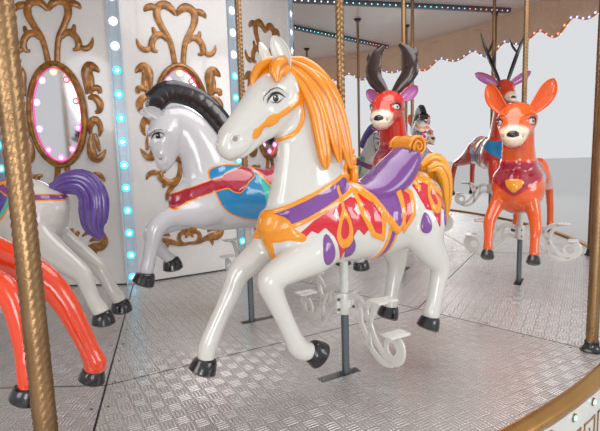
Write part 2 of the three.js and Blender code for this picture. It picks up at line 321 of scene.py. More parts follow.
BULB_GLOW = {
    "white": (1.0, 0.96, 1.0), "cyan": (0.04, 0.72, 1.0), "blue": (0.2, 0.35, 1.0),
    "violet": (0.8, 0.6, 1.0), "pink": (1.0, 0.25, 0.85), "red": (1.0, 0.06, 0.08),
    "warm": (1.0, 0.72, 0.35), "green": (0.25, 1.0, 0.55),
}


@cache
def bulb_glow(hue, strength=2.4, white=0.25):
    """A lit dome, brightest at noise peaks so that no two look alike. The white share pales it."""
    finish = Finish(f"lit_{hue}_{white}", {"Roughness": 0.2, "Emission Strength": strength})
    tint, pale = (tuple(share + (1 - share) * channel for channel in BULB_GLOW[hue]) + (1.0,)
                  for share in (white / 3, white))
    flicker = finish.speckle(7.0)
    finish.feed("Emission Color", finish.blend(flicker, tint, pale))
    finish.shader.inputs["Base Color"].default_value = pale
    return finish.material


@cache
def rim_light():
    """Painted light from the bulbs along a mirror's edge: a glowing ring, from violet on one side to
    red on the other.
    """
    finish = Finish("rim_light", {"Roughness": 0.4, "Emission Strength": 0.8})
    finish.shader.inputs["Base Color"].default_value = (0.5, 0.1, 0.2, 1)
    side = finish.rise(finish.mark("glow"), 0.1, 0.7)
    tint = finish.blend(side, (0.5, 0.16, 0.9, 1), (1.0, 0.04, 0.05, 1))
    finish.feed("Emission Color", finish.blend(finish.speckle(5.0), tint, (1.0, 0.06, 0.25, 1)))
    return finish.material


TREAD_CELL = 0.062
TREAD_BARS = 4
PLATE_SEAM = 3.74
RIVET_STEP = 0.24
RIVET_INSET = 0.035


def sector_axes(finish):
    """Coordinates that run out along a sector and across it: radius times cosine and sine of the
    angle left after the nearest whole sector is taken off."""
    x, y = finish.axes()[:2]
    radius = finish.math("SQRT", x * x + y * y)
    angle = finish.math("ARCTAN2", y, x)
    local = angle - finish.math("ROUND", angle / SECTOR) * SECTOR
    return radius, local, radius * finish.math("COSINE", local), radius * finish.math("SINE", local)


@cache
def tread_plate():
    """Basket-weave tread plate: square cells with short raised bars, turned in every second cell,
    on plates with seams between the sectors and across them, and rivets beside the seams."""
    finish = Finish("tread_plate", {"Metallic": 0.7})
    radius, local, out, side = sector_axes(finish)
    cell_out = out / TREAD_CELL
    cell_side = side / TREAD_CELL
    count = finish.math("FLOOR", cell_out) + finish.math("FLOOR", cell_side)
    turned = finish.math("FRACT", count / 2) * 2
    part_out = finish.math("FRACT", cell_out)
    part_side = finish.math("FRACT", cell_side)
    along = part_out + (part_side - part_out) * turned
    across = part_side + (part_out - part_side) * turned
    bar = finish.math("FRACT", across * TREAD_BARS)
    ridge = finish.rise(abs(bar - 0.5), 0.42, 0.12)
    ends = finish.rise(abs(along - 0.5), 0.47, 0.36)
    raised = ridge * ends
    edge = radius * finish.math("SINE", SEAM - abs(local))
    cross = abs(out - PLATE_SEAM)
    seam = finish.math("MINIMUM", edge, cross)
    joint = finish.rise(seam, 0.007, 0.003)
    hole_out = (finish.math("FRACT", out / RIVET_STEP) - 0.5) * RIVET_STEP
    hole_side = edge - RIVET_INSET
    rivet = finish.rise(finish.math("SQRT", hole_out * hole_out + hole_side * hole_side), 0.009, 0.006)
    soil = finish.rise(finish.speckle(1.7, 5.0), 0.3, 0.75)
    base = finish.blend(soil, shade("plate", (0.82, 0.79, 0.75)), shade("plate"))
    # Painted shade: the flats between the raised bars are blended towards dark grey.
    base = finish.blend((1 - raised) * 0.5, base, (0.32, 0.31, 0.31, 1))
    base = finish.blend(joint, base, (0.02, 0.02, 0.02, 1))
    base = finish.blend(rivet, base, (0.12, 0.11, 0.1, 1))
    finish.feed("Base Color", base)
    finish.feed("Roughness", 0.3 - raised * 0.12 + finish.speckle(6.0) * 0.14)
    finish.emboss(raised * 0.6 + rivet * 0.5 - joint, 0.003)
    return finish.material


@cache
def ceiling_sheet():
    """Pale gloss sheets with a fine joint at each sector and faint waves."""
    finish = Finish("ceiling_sheet", {"Coat Weight": 0.25, "Coat Roughness": 0.25})
    radius, local = sector_axes(finish)[:2]
    edge = radius * finish.math("SINE", SEAM - abs(local))
    joint = finish.rise(edge, 0.006, 0.003)
    tone = finish.blend(finish.speckle(1.2), shade("ceiling", 0.9), shade("ceiling"))
    finish.feed("Base Color", finish.blend(joint, tone, (0.25, 0.23, 0.21, 1)))
    gloss(finish, 0.35, 0.2, 3.0)
    finish.emboss(finish.speckle(1.8, 1.0) - joint, 0.004)
    return finish.material


@cache
def roof_cloth():
    """Coated cover cloth: a fine weave in two directions, and stains in cloudy noise."""
    finish = Finish("roof_cloth", {"Roughness": 0.7})
    x, y = finish.axes()[:2]
    radius = finish.math("SQRT", x * x + y * y)
    angle = finish.math("ARCTAN2", y, x)
    weave = finish.math("SINE", radius * 900) * finish.math("SINE", angle * 4000)
    wash = finish.rise(finish.speckle(1.4, 5.0), 0.3, 0.8)
    finish.feed("Base Color", finish.blend(wash, shade("canvas", 0.84), shade("canvas")))
    gloss(finish, 0.55, 0.2, 5.0)
    finish.emboss(weave * 0.5 + 0.5, 0.0008)
    return finish.material


def dot_mask(finish):
    """Round dots: 1 inside a third of the way to the nearest cell point, 0 outside."""
    cell = finish.node("ShaderNodeTexVoronoi", None, {"Vector": finish.place(), "Scale": 16.0,
                                                      "Randomness": 0.75})
    return finish.rise(cell, 0.36, 0.32)


PAINT_BLUR = 0.0012


def coat_of_paint(name, base, second, layers, dots=None):
    """Gloss-painted glass fibre. Each layer has a mark that is its distance inside the painted shape
    in metres: the layer's own colour inside, and its edging colour along the border."""
    finish = Finish(name, {"Coat Weight": 0.8, "Coat Roughness": 0.05, "Specular IOR Level": 0.5})
    tone = finish.blend(finish.speckle(2.5), shade(base, 0.88), shade(base))
    tone = finish.blend(finish.rise(finish.mark("pale"), 0.15, 0.85), tone, shade(second))
    if dots:
        tone = finish.blend(dot_mask(finish), tone, shade(dots))
    for mark_name, (fill, *edge) in layers.items():
        inside = finish.mark(mark_name)
        edging, width = edge or (fill, 0.0)
        for start, tint in ((0.0, edging), (width, fill)):
            step = finish.rise(inside, start - PAINT_BLUR, start + PAINT_BLUR)
            tone = finish.blend(step, tone, shade(tint))
    finish.feed("Base Color", tone)
    gloss(finish, 0.12, 0.14, 11.0)
    finish.emboss(finish.speckle(26.0, 2.0), 0.0018)
    return finish.material


# Shapes

MERGE = 1e-6
CREASE = 38
OUTWARD = np.array((1.0, 0.0, 0.0))
SIDEWAYS = np.array((0.0, 1.0, 0.0))
UPWARD = np.array((0.0, 0.0, 1.0))

union = np.maximum.reduce


def enter(thing):
    """Puts an object into the scene."""
    bpy.context.scene.collection.objects.link(thing)


def mm(table):
    """A table of millimetres, at any depth, in metres."""
    if isinstance(table, (list, tuple)):
        return type(table)(mm(entry) for entry in table)
    return table / 1000


def around(radius, angle, height):
    """Points about the upright axis: radius times the angle's cosine and sine, and the height."""
    return np.stack(np.broadcast_arrays(radius * np.cos(angle), radius * np.sin(angle), height), -1)


def full_turn(count):
    """Evenly spaced angles of one turn."""
    return np.linspace(0, 2 * pi, count, endpoint=False)


def on_panel(flat, out, height):
    """A flat outline of side and height stood upright at a distance out, raised by a height."""
    return np.column_stack((np.full(len(flat), out), flat + (0, height)))


def unit(vectors):
    """Each vector over its own length."""
    return vectors / np.maximum(np.linalg.norm(vectors, axis=-1, keepdims=True), 1e-12)


def curve(points, steps=6, loop=False):
    """A smooth line through given points: between two of them it is the cubic that passes
    both and runs there parallel to the line between their neighbours."""
    points = np.asarray(points, float)
    if loop:
        points = np.vstack((points[-1:], points, points[:2]))
    else:
        points = np.vstack((2 * points[:1] - points[1:2], points, 2 * points[-1:] - points[-2:-1]))
    part = np.linspace(0, 1, steps, endpoint=False)[None, :, None]
    before, start, end, after = (points[i:len(points) - 3 + i, None] for i in range(4))
    line = 0.5 * (2 * start + (end - before) * part
                  + (2 * before - 5 * start + 4 * end - after) * part ** 2
                  + (3 * start - before - 3 * end + after) * part ** 3)
    line = line.reshape(-1, points.shape[1])
    return line if loop else np.vstack((line, points[-2:-1]))


def ring(count, wide=1.0, high=1.0, power=1.0, turn=0.0):
    """A closed section: cosine times width and sine times height, each to a power that squares it."""
    angle = full_turn(count) + turn
    across = np.sign(np.cos(angle)) * np.abs(np.cos(angle)) ** power
    over = np.sign(np.sin(angle)) * np.abs(np.sin(angle)) ** power
    return np.stack((across * wide, over * high), 1)


def sweep(path, section, across, size=1.0, loop=False):
    """A section carried along a path: the path's point, plus the section's x along the across
    direction made square to the path, plus its y along the third direction, each times the size."""
    path = np.asarray(path, float)
    ahead = np.roll(path, -1, 0) - np.roll(path, 1, 0) if loop else np.gradient(path, axis=0)
    ahead = unit(ahead)
    across = np.broadcast_to(np.asarray(across, float), path.shape)
    side = unit(across - (across * ahead).sum(1, keepdims=True) * ahead)
    over = np.cross(ahead, side)
    size = np.asarray(size, float)
    size = np.broadcast_to(size.reshape(-1, 1) if size.ndim < 2 else size, (len(path), 2))
    placed = np.asarray(section)[None] * size[:, None]
    return path[:, None] + placed[..., :1] * side[:, None] + placed[..., 1:] * over[:, None]


def lathe(profile, count, turn=0.0):
    """A profile of radius and height turned about the upright axis."""
    profile = np.asarray(profile, float)
    return around(profile[:, :1], full_turn(count) + turn, profile[:, 1:])


def twisted(low, high, radius, lead, strands, columns, ripple=0.13, rows_a_turn=10):
    """A rope-twisted tube. Its radius dips by the ripple between strands, and each row is turned on by
    its height over the lead, so that the columns run along the strands."""
    rows = max(2, int((high - low) / lead * rows_a_turn))
    height = np.linspace(low, high, rows)[:, None]
    angle = full_turn(columns)[None]
    reach = radius * (1 - ripple * np.abs(np.sin(angle * strands / 2)))
    return around(reach, angle + 2 * pi * height / lead, height)


def bar(start, end, across, wide, high, round_edge=0.15, count=12, bevel=0.004):
    """A straight bar with rounded edges, drawn in a little at both ends."""
    start = np.asarray(start, float)
    end = np.asarray(end, float)
    ahead = unit(end - start)
    path = np.stack((start, start + ahead * bevel, end - ahead * bevel, end))
    shrink = np.array(((wide - bevel, high - bevel), (wide, high), (wide, high),
                       (wide - bevel, high - bevel)))
    return sweep(path, ring(count, power=round_edge + 0.1, turn=pi / count), across, shrink)


def turns(count=SECTORS, start=0.0):
    """Matrices that turn a piece about the upright axis to every sector."""
    angle = start + np.arange(count) * 2 * pi / count
    found = np.zeros((count, 4, 4))
    found[:, 0, 0] = found[:, 1, 1] = np.cos(angle)
    found[:, 1, 0] = np.sin(angle)
    found[:, 0, 1] = -np.sin(angle)
    found[:, 2, 2] = found[:, 3, 3] = 1
    return found


def facing(places, outward):
    """Matrices that stand a piece at each place with its upright axis along the outward direction."""
    outward = unit(np.broadcast_to(np.asarray(outward, float), np.shape(places)))
    helper = np.where(np.abs(outward[:, 2:]) > 0.9, OUTWARD, UPWARD)
    side = unit(np.cross(helper, outward))
    found = np.zeros((len(outward), 4, 4))
    found[:, :3, 0] = side
    found[:, :3, 1] = np.cross(outward, side)
    found[:, :3, 2] = outward
    found[:, :3, 3] = places
    found[:, 3, 3] = 1
    return found


class Piece:
    """Gathers patches of points with their faces, finishes and marks, and makes one object of them."""

    def __init__(self):
        self.points = []
        self.faces = []
        self.slots = []
        self.marks = []
        self.count = 0

    def add(self, points, faces, slot=0, marks=None):
        self.points.append(points)
        self.faces.append(faces + self.count)
        self.slots.append(np.broadcast_to(slot, len(faces)).astype(np.int32))
        self.marks.append(marks or {})
        self.count += len(points)
        return self

    def patch(self, grid, slot=0, wrap=True, close=True):
        """Adds a grid of rows and columns. Wrapping joins the last column to the first, and closing
        draws the first and last row together in their middles."""
        if close:
            ends = [np.repeat(row.mean(0, keepdims=True), len(row), 0)[None] for row in (grid[0], grid[-1])]
            grid = np.concatenate((ends[0], grid, ends[1]))
        rows, columns = grid.shape[:2]
        index = np.arange(rows * columns).reshape(rows, columns)
        if wrap:
            index = np.hstack((index, index[:, :1]))
        faces = np.stack((index[:-1, :-1], index[1:, :-1], index[1:, 1:], index[:-1, 1:]), -1)
        if np.ndim(slot):
            slot = np.broadcast_to(slot, faces.shape[:2]).ravel()
        return self.add(grid.reshape(-1, 3), faces.reshape(-1, 4), slot)

    def loop(self, grid, slot=0):
        """Adds a grid that is closed both ways."""
        return self.patch(np.concatenate((grid, grid[:1])), slot, close=False)

    def copies(self, other, matrices, slot=None):
        """Adds another piece once for each matrix."""
        points = np.concatenate(other.points)
        faces = np.concatenate(other.faces)
        slots = np.concatenate(other.slots) if slot is None else slot
        matrices = np.asarray(matrices, float)
        placed = np.einsum("kij,nj->kni", matrices[:, :3, :3], points) + matrices[:, None, :3, 3]
        many = faces[None] + len(points) * np.arange(len(matrices))[:, None, None]
        slots = np.tile(np.broadcast_to(slots, len(faces)), len(matrices))
        return self.add(placed.reshape(-1, 3), many.reshape(-1, 4), slots)

    def object(self, name, finishes, slot, stands_for=(), body="turntable", sharp=CREASE):
        """Makes the mesh object, closes its seams and turns its faces outward, and lets it ride."""
        mesh = bpy.data.meshes.new(name)
        points = np.concatenate(self.points).astype(np.float32)
        faces = np.concatenate(self.faces).astype(np.int32)
        mesh.vertices.add(len(points))
        mesh.vertices.foreach_set("co", points.ravel())
        mesh.loops.add(faces.size)
        mesh.loops.foreach_set("vertex_index", faces.ravel())
        mesh.polygons.add(len(faces))
        mesh.polygons.foreach_set("loop_start", np.arange(0, faces.size, 4, dtype=np.int32))
        mesh.polygons.foreach_set("material_index", np.concatenate(self.slots))
        mesh.polygons.foreach_set("use_smooth", np.ones(len(faces), bool))
        self.write_marks(mesh)
        for finish in finishes:
            mesh.materials.append(finish)
        mesh.update(calc_edges=True)
        close_seams(mesh)
        mesh.set_sharp_from_angle(angle=radians(sharp))
        made = bpy.data.objects.new(name, mesh)
        enter(made)
        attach(made, body)
        if stands_for:
            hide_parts(*stands_for)

    def write_marks(self, mesh):
        names = sorted({name for marks in self.marks for name in marks})
        for name in names:
            blank = -1.0 if name != "pale" else 0.0
            values = [np.broadcast_to(marks.get(name, blank), len(points))
                      for marks, points in zip(self.marks, self.points)]
            layer = mesh.attributes.new(name, "FLOAT", "POINT")
            layer.data.foreach_set("value", np.concatenate(values).astype(np.float32))


def close_seams(mesh):
    """Merges the points that meet at seams and poles, and turns the faces outward."""
    work = bmesh.new()
    work.from_mesh(mesh)
    bmesh.ops.remove_doubles(work, verts=work.verts, dist=MERGE)
    bmesh.ops.dissolve_degenerate(work, edges=work.edges, dist=MERGE)
    bmesh.ops.recalc_face_normals(work, faces=work.faces)
    work.to_mesh(mesh)
    work.free()


def stroke(points):
    """A carved scroll in the panel plane: points of side, height and half width, drawn as a smooth
    line and swept with an oval section that thins towards the ends."""
    line = curve(points, 4)
    half = np.maximum(line[:, 2], 0.003)
    return sweep(on_panel(line[:, :2], 0, 0), ring(6), OUTWARD, np.stack((half * 0.55, half), 1))


def mirrored(strokes):
    """The strokes and their mirror images across the panel's middle."""
    return strokes + [[(-side, *rest) for side, *rest in points] for points in strokes]


def add_bulbs(piece, matrices, slot, share=1.0, columns=6, painted_halo_slot=None):
    """Adds a bulb's dome at each matrix, a little over half a ball, and where that has a slot a flat
    ring of painted glow round it. The share is that of a rim bulb's radius."""
    radius = sizes().bulb * share
    angle = np.radians((100, 65, 30))
    profile = np.stack((radius * np.sin(angle), radius * np.cos(angle)), 1)
    piece.copies(Piece().patch(lathe(profile, columns)), matrices, slot)
    if painted_halo_slot is not None:
        # Painted light: a flat glowing ring round the bulb, no lamp of its own.
        painted_halo = lathe([(radius * 0.9, 0.0012), (radius * 1.9, 0.0006)], 14)
        piece.copies(Piece().patch(painted_halo, close=False), matrices, painted_halo_slot)


# Floor, rim and base

FRET_UNIT = [(0.0, 0.0), (0.0, 1.0), (0.72, 1.0), (0.72, 0.3), (0.36, 0.3), (0.36, 0.62)]
FRET_HEIGHT = 0.11
FRET_STEP = 0.16
FRET_LOW = 0.13
FRET_LINE = 0.009


def around_rim(radius, along, height):
    """Points on an upright round wall: the arc length over the radius is the angle."""
    return around(radius, np.asarray(along) / radius, height)


def fret_key(radius):
    """One key of the fret: a flat ribbon along a square path, standing a little proud."""
    work = Piece()
    corners = np.array(FRET_UNIT) * (FRET_STEP, FRET_HEIGHT)
    corners = np.vstack((corners, corners[-1:] + (0.0, 0.001)))
    for start, end in zip(corners[:-2], corners[1:-1]):
        ahead = unit(end - start)
        square = np.array((-ahead[1], ahead[0])) * FRET_LINE / 2
        start = start - ahead * FRET_LINE / 2
        end = end + ahead * FRET_LINE / 2
        flat = np.array((start + square, start - square, end - square, end + square))
        work.patch(np.stack([around_rim(radius + proud, flat[:, 0], FRET_LOW + flat[:, 1])
                             for proud in (-0.002, 0.003)]))
    return work


def build_floor():
    """The tread-plate floor keeps its node. The nosing and the skirt are smooth rings."""
    dress("deck", tread_plate())
    steps = sizes().rim_steps
    inner = DECK_RADIUS - 0.002
    low = TRIM_LOW[2]
    high = TRIM_HIGH[2]
    belly = curve([(inner, low), (inner, high - 0.014), (inner + 0.012, high),
                   (inner + 0.034, high - 0.002), (TRIM_RADIUS - 0.008, high - 0.016),
                   (TRIM_RADIUS, high - 0.034),
                   (TRIM_RADIUS - 0.006, low + 0.008), (TRIM_RADIUS - 0.02, low)], 3)
    Piece().loop(lathe(belly, steps)).object("rim_nosing", [bronze()], "gold_trim", ["rim_trim"])
    skirt = Piece()
    outer = FASCIA_RADIUS - 0.002
    wall = [(outer - 0.018, FASCIA_LOW[2]), (outer, FASCIA_LOW[2]), (outer, FASCIA_LOW[2] + 0.03),
            (outer - 0.004, FASCIA_LOW[2] + 0.034), (outer - 0.004, FASCIA_HIGH[2] - 0.09),
            (outer, FASCIA_HIGH[2] - 0.086), (outer, FASCIA_HIGH[2]), (outer - 0.018, FASCIA_HIGH[2])]
    skirt.loop(lathe(wall, steps))
    keys = int(2 * pi * outer / FRET_STEP)
    skirt.copies(fret_key(outer - 0.004), turns(keys), 1)
    bulbs = int(2 * pi * outer / sizes().rim_bulb_step)
    place = around_rim(outer, np.arange(bulbs) * 2 * pi * outer / bulbs, FASCIA_HIGH[2] - 0.04)
    level = facing(place, place * (1, 1, 0))
    add_bulbs(skirt, level, 2)
    skirt.copies(Piece().patch(lathe([(0.02, 0), (0.02, 0.004), (0.012, 0.006)], 8)), level, 1)
    skirt.object("painted_skirt", [plain("white"), gilt(), bulb_glow("cyan")], "fascia_paint", ["fascia"])


def dress(node, material):
    """Gives a frame node its material."""
    target = bpy.data.objects[node]
    for entry in target.material_slots:
        entry.material = material
    if not target.material_slots:
        target.data.materials.append(material)


# Centre housing

OVAL_HEIGHT = DECK_TOP + 1.435
OVAL_HALF = (0.222, 0.402)
OVAL_ROUND = 0.026
OVAL_TOP = OVAL_HALF[1] + OVAL_ROUND

CREST = mm([
    [(36, -20, 26), (50, 100, 25), (74, 190, 27), (125, 280, 29), (160, 360, 33), (158, 425, 34)],
    [(168, 395, 30), (140, 445, 36), (85, 462, 38), (35, 432, 32), (3, 388, 14)],
    [(150, 425, 20), (195, 436, 30), (238, 422, 28), (262, 392, 10)],
    [(85, 180, 22), (125, 212, 28), (170, 212, 32), (210, 170, 30), (222, 120, 30), (205, 88, 22),
     (172, 82, 12)],
    [(225, 115, 18), (262, 88, 26), (305, 98, 24), (330, 135, 16), (338, 172, 6)],
    [(160, 200, 20), (190, 235, 22), (200, 275, 12)],
])
SIDE_SCROLLS = mm([
    [(252, -270, 12), (262, -180, 34), (265, -100, 46), (295, -50, 44), (340, -70, 30), (368, -100, 8)],
    [(300, -80, 10), (302, -150, 22), (300, -220, 20), (285, -270, 10)],
    [(270, -260, 12), (310, -225, 26), (350, -225, 28), (362, -265, 18)],
    [(262, -300, 15), (310, -295, 32), (350, -340, 34), (345, -400, 26), (310, -415, 14)],
    [(255, -590, 14), (258, -520, 30), (300, -470, 34), (335, -510, 26), (340, -560, 22), (325, -610, 8)],
    [(262, -580, 12), (250, -680, 34), (262, -765, 44), (305, -790, 36), (345, -755, 22), (370, -715, 6)],
    [(290, -580, 12), (306, -660, 22), (318, -730, 14)],
])
SHELL = mm([
    [(0, 0, 14), (50, -4, 18), (92, 30, 22), (86, 82, 22), (48, 100, 20), (22, 74, 16), (36, 50, 12)],
    [(20, -2, 14), (90, 0, 20), (150, 24, 26), (205, 34, 40), (265, 40, 42), (300, 85, 32), (282, 145, 24),
     (232, 182, 26), (172, 168, 22), (112, 130, 8)],
    [(245, 165, 20), (235, 215, 22), (222, 262, 8)],
    [(190, 30, 22), (208, -10, 18), (212, -50, 6)],
    [(170, 85, 10), (210, 105, 20), (262, 96, 14)],
    [(0, 70, 12), (22, 140, 22), (32, 200, 16)],
    [(15, 80, 12), (60, 135, 22), (85, 172, 14)],
])
SHELL_HEIGHT = DECK_TOP + 0.3

OVAL_BULBS = ["warm", "red", "red", "pink", "pink", "pink", "pink", "violet", "violet", "violet"]
HUES = list(BULB_GLOW)
WHITE_BULBS = 6


def carved(strokes, height, flip=1.0, off=0.004):
    """Carved scrolls laid on the panel face at a height, upright or turned over."""
    work = Piece()
    for points in mirrored(strokes):
        scroll = stroke([(side, flip * up, half) for side, up, half in points])
        scroll += (CORE_FACE + off, 0, height)
        work.patch(scroll)
    return work


def oval(half_side, half_height, count):
    angle = pi / 2 - full_turn(count)
    return np.stack((half_side * np.cos(angle), half_height * np.sin(angle)), 1)


def build_core():
    """Twelve gloss panels between lit corner channels, each with a carved oval frame round a mirror,
    a crest over it, its mirror image below, side scrolls, and a shell ornament at the foot."""
    half = CORE_CORNER * sin(SEAM)
    panel = Piece()
    panel.patch(bar((CORE_FACE - 0.012, 0, CORE_LOW), (CORE_FACE - 0.012, 0, CORE_HIGH), SIDEWAYS,
                    half - 0.045, 0.012, 0.02, 8, 0.003))
    panel.patch(bar((CORE_FACE - 0.008, 0, CORE_LOW), (CORE_FACE - 0.008, 0, CORE_LOW + 0.012), SIDEWAYS,
                    half - 0.04, 0.014, 0.02, 8, 0.002), 1)
    panels = Piece().copies(panel, turns())
    shell = [(CORE_CORNER - 0.06, CORE_LOW), (CORE_CORNER - 0.035, CORE_LOW),
             (CORE_CORNER - 0.035, CORE_HIGH), (CORE_CORNER - 0.06, CORE_HIGH)]
    panels.loop(lathe(shell, SECTORS, SEAM))
    panels.object("centre_panels", [plain("panel"), plain("black")], "core_panel", ["core_drum"], sharp=25)
    build_channels()
    frames = Piece()
    outline = oval(*OVAL_HALF, 56)
    path = on_panel(outline, CORE_FACE + 0.012, OVAL_HEIGHT)
    profile = np.array(((-0.4, -0.9), (0.25, -1), (0.8, -0.7), (1, 0), (0.75, 0.35), (0.95, 0.65),
                        (0.3, 1.0), (-0.4, 0.95))) * (0.024, OVAL_ROUND)
    frames.loop(sweep(path, profile, OUTWARD, loop=True))
    for part in (carved(CREST, OVAL_HEIGHT + OVAL_TOP), carved(SIDE_SCROLLS, OVAL_HEIGHT + OVAL_TOP),
                 carved(CREST[:1] + CREST[3:], OVAL_HEIGHT - OVAL_TOP, -0.72),
                 carved(SHELL, SHELL_HEIGHT)):
        frames.copies(part, np.eye(4)[None])
    Piece().copies(frames, turns()).object("carved_frames", [gilt()], "gold_trim")
    glass = Piece()
    rim = oval(OVAL_HALF[0] - 0.015, OVAL_HALF[1] - 0.015, 40)
    plane = on_panel(rim, CORE_FACE + 0.004, OVAL_HEIGHT)
    glass.patch(np.stack((plane - (0.006, 0, 0), plane)))
    Piece().copies(glass, turns()).object("oval_mirrors", [mirror()], "core_panel")
    lights = oval(OVAL_HALF[0] - 0.054, OVAL_HALF[1] - 0.058, len(OVAL_BULBS))
    places = on_panel(lights, CORE_FACE + 0.008, OVAL_HEIGHT)
    bulbs = Piece()
    # Each oval bulb gets a ring of painted glow round it.
    for matrix, hue in zip(facing(places, OUTWARD), OVAL_BULBS):
        slot = HUES.index(hue)
        add_bulbs(bulbs, matrix[None], slot, 1.1, 8, slot + len(HUES))
    Piece().copies(bulbs, turns()).object("mirror_bulbs", lit_finishes(), "core_panel")
    # Painted light: a glowing ring along the mirror's edge in the colours of its bulbs.
    edge = oval(OVAL_HALF[0] - 0.03, OVAL_HALF[1] - 0.03, 56)
    line = on_panel(edge, CORE_FACE + 0.008, OVAL_HEIGHT)
    glow = Piece().loop(sweep(line, ring(6), OUTWARD, 0.0055, loop=True))
    placed = Piece().copies(glow, turns())
    share = 0.5 + 0.5 * edge[:, 0] / OVAL_HALF[0]
    placed.marks[-1] = {"glow": np.tile(np.repeat(np.append(share, share[0]), 6), SECTORS)}
    placed.object("mirror_glow", [rim_light()], "core_panel")


def lit_finishes(hues=HUES):
    """Finishes of the paler bulbs and of the rings of painted glow round them, in the order of the hues."""
    return [bulb_glow(hue, white=0.8) for hue in hues] + [bulb_glow(hue, 0.75, 0.05) for hue in hues]


def build_channels():
    """Lit corner channels: a lipped aluminium section from floor to ceiling with bulbs in its bed."""
    section = np.array(((-0.05, -0.035), (0.05, -0.035), (0.05, 0.012), (0.036, 0.012), (0.034, -0.004),
                        (-0.034, -0.004), (-0.036, 0.012), (-0.05, 0.012)))
    path = np.array(((CORE_CORNER - 0.006, 0, CORE_LOW), (CORE_CORNER - 0.006, 0, CORE_HIGH)))
    channel = Piece().patch(sweep(path, section * (1, -1), SIDEWAYS))
    step = sizes().channel_bulb_step
    heights = np.arange(CORE_HIGH - 0.08, CORE_LOW + 0.05, -step)
    places = np.column_stack((np.full(len(heights), CORE_CORNER - 0.001), 0 * heights, heights))
    matrices = facing(places, OUTWARD)
    # Each channel bulb gets a ring of painted glow round it.
    for slot, group in ((1, matrices[:WHITE_BULBS]), (2, matrices[WHITE_BULBS:])):
        add_bulbs(channel, group, slot, 1.3, 8, slot + 2)
    finishes = [brushed("channel", 0.3), *lit_finishes(["white", "cyan"])]
    Piece().copies(channel, turns(start=SEAM)).object("corner_channels", finishes, "core_panel", sharp=25)


# Posts, ribs and ceiling

RIB_HUES = ["white", "white", "cyan", "cyan", "green", "cyan", "blue", "red", "red", "pink"]


def build_posts():
    """Twelve rope-twisted posts with foot washers and collars, and the ribs that they carry."""
    low = DECK_TOP + 0.0005
    high = CEILING_LOW - RIB_DEPTH
    post = Piece()
    post.patch(twisted(low, high, POST_RADIUS, sizes().post_lead, 8, 24, 0.045))
    post.patch(lathe([(0.055, low), (0.055, low + 0.008), (0.045, low + 0.014), (0.036, low + 0.03),
                      (0.036, low + 0.05), (0.031, low + 0.055)], 20), 1)
    post.patch(lathe([(0.031, high - 0.06), (0.038, high - 0.055), (0.038, high - 0.02),
                      (0.05, high - 0.012), (0.05, high)], 20), 1)
    post.points = [points + (POST_RING, 0, 0) for points in post.points]
    Piece().copies(post, turns(start=SEAM)).object("twisted_posts", [brass(), plain("black")], "brass_post",
                                                  ["post_frame"])
    inner = CORE_CORNER - 0.02
    outer = VALANCE_RADIUS - 0.24
    rib = Piece()
    middle = CEILING_LOW - RIB_DEPTH / 2
    rib.patch(bar((inner, 0, middle), (outer, 0, middle), SIDEWAYS, 0.04, RIB_DEPTH / 2, 0.1, 12))
    for edge in (-1, 1):
        count = int((outer - inner) / sizes().rib_bulb_step)
        reach = np.linspace(inner + 0.06, outer - 0.06, count)
        places = np.column_stack((reach, np.full(count, edge * 0.041), np.full(count, middle - 0.012)))
        matrices = facing(places, (0.0, edge, -0.35))
        hues = (np.linspace(0, 1, count) * (len(RIB_HUES) - 1)).astype(int)
        for order in range(len(RIB_HUES)):
            slot = 1 + HUES.index(RIB_HUES[order])
            add_bulbs(rib, matrices[hues == order], slot, 0.62, 5)
    ribs = Piece().copies(rib, turns(start=SEAM))
    collar = [(inner - 0.02, CEILING_LOW - 0.07), (inner + 0.012, CEILING_LOW - 0.07),
              (inner + 0.012, CEILING_LOW - 0.001), (inner - 0.02, CEILING_LOW - 0.001)]
    ribs.loop(lathe(collar, SECTORS, SEAM))
    ribs.object("ceiling_ribs", [brushed("steel", 0.35)] + [bulb_glow(hue) for hue in HUES], "dark_steel")


def build_ceiling():
    """The ceiling keeps its node, and gets a black bush round each pole's hole."""
    dress("ceiling", ceiling_sheet())
    bush = Piece().loop(lathe([(POLE_RADIUS + 0.006, -0.035), (0.042, -0.035), (0.046, -0.028),
                               (0.046, -0.012), (0.06, -0.008), (0.06, -0.0005),
                               (POLE_RADIUS + 0.006, -0.0005)], 20))
    places = np.array([seat_matrix(row, number)[:3, 3] for row in ("outer", "inner")
                       for number in range(1, SECTORS + 1)])
    places[:, 2] = CEILING_LOW
    Piece().copies(bush, facing(places, UPWARD)).object("pole_bushes", [plain("black")], "dark_steel")


SCALLOPS = SECTORS * 4
SCALLOP_LOW = DECK_TOP + 2.52
SCALLOP_HIGH = DECK_TOP + 2.615
SCALLOP_DROP = 0.06
RED_RUN = (radians(9.4), radians(4.4))
VALANCE_COLUMNS = 720


def scallop_edge(angle):
    """Height of the rounding boards' lower edge: four lobes to a sector, of which every second one
    hangs deeper, all by the cosine of the angle."""
    lobe = 0.5 + 0.5 * np.cos(angle * SCALLOPS)
    deep = 0.5 - 0.5 * np.cos(angle * SCALLOPS / 2)
    return SCALLOP_HIGH - (SCALLOP_HIGH - SCALLOP_LOW + SCALLOP_DROP * deep) * lobe ** 0.8


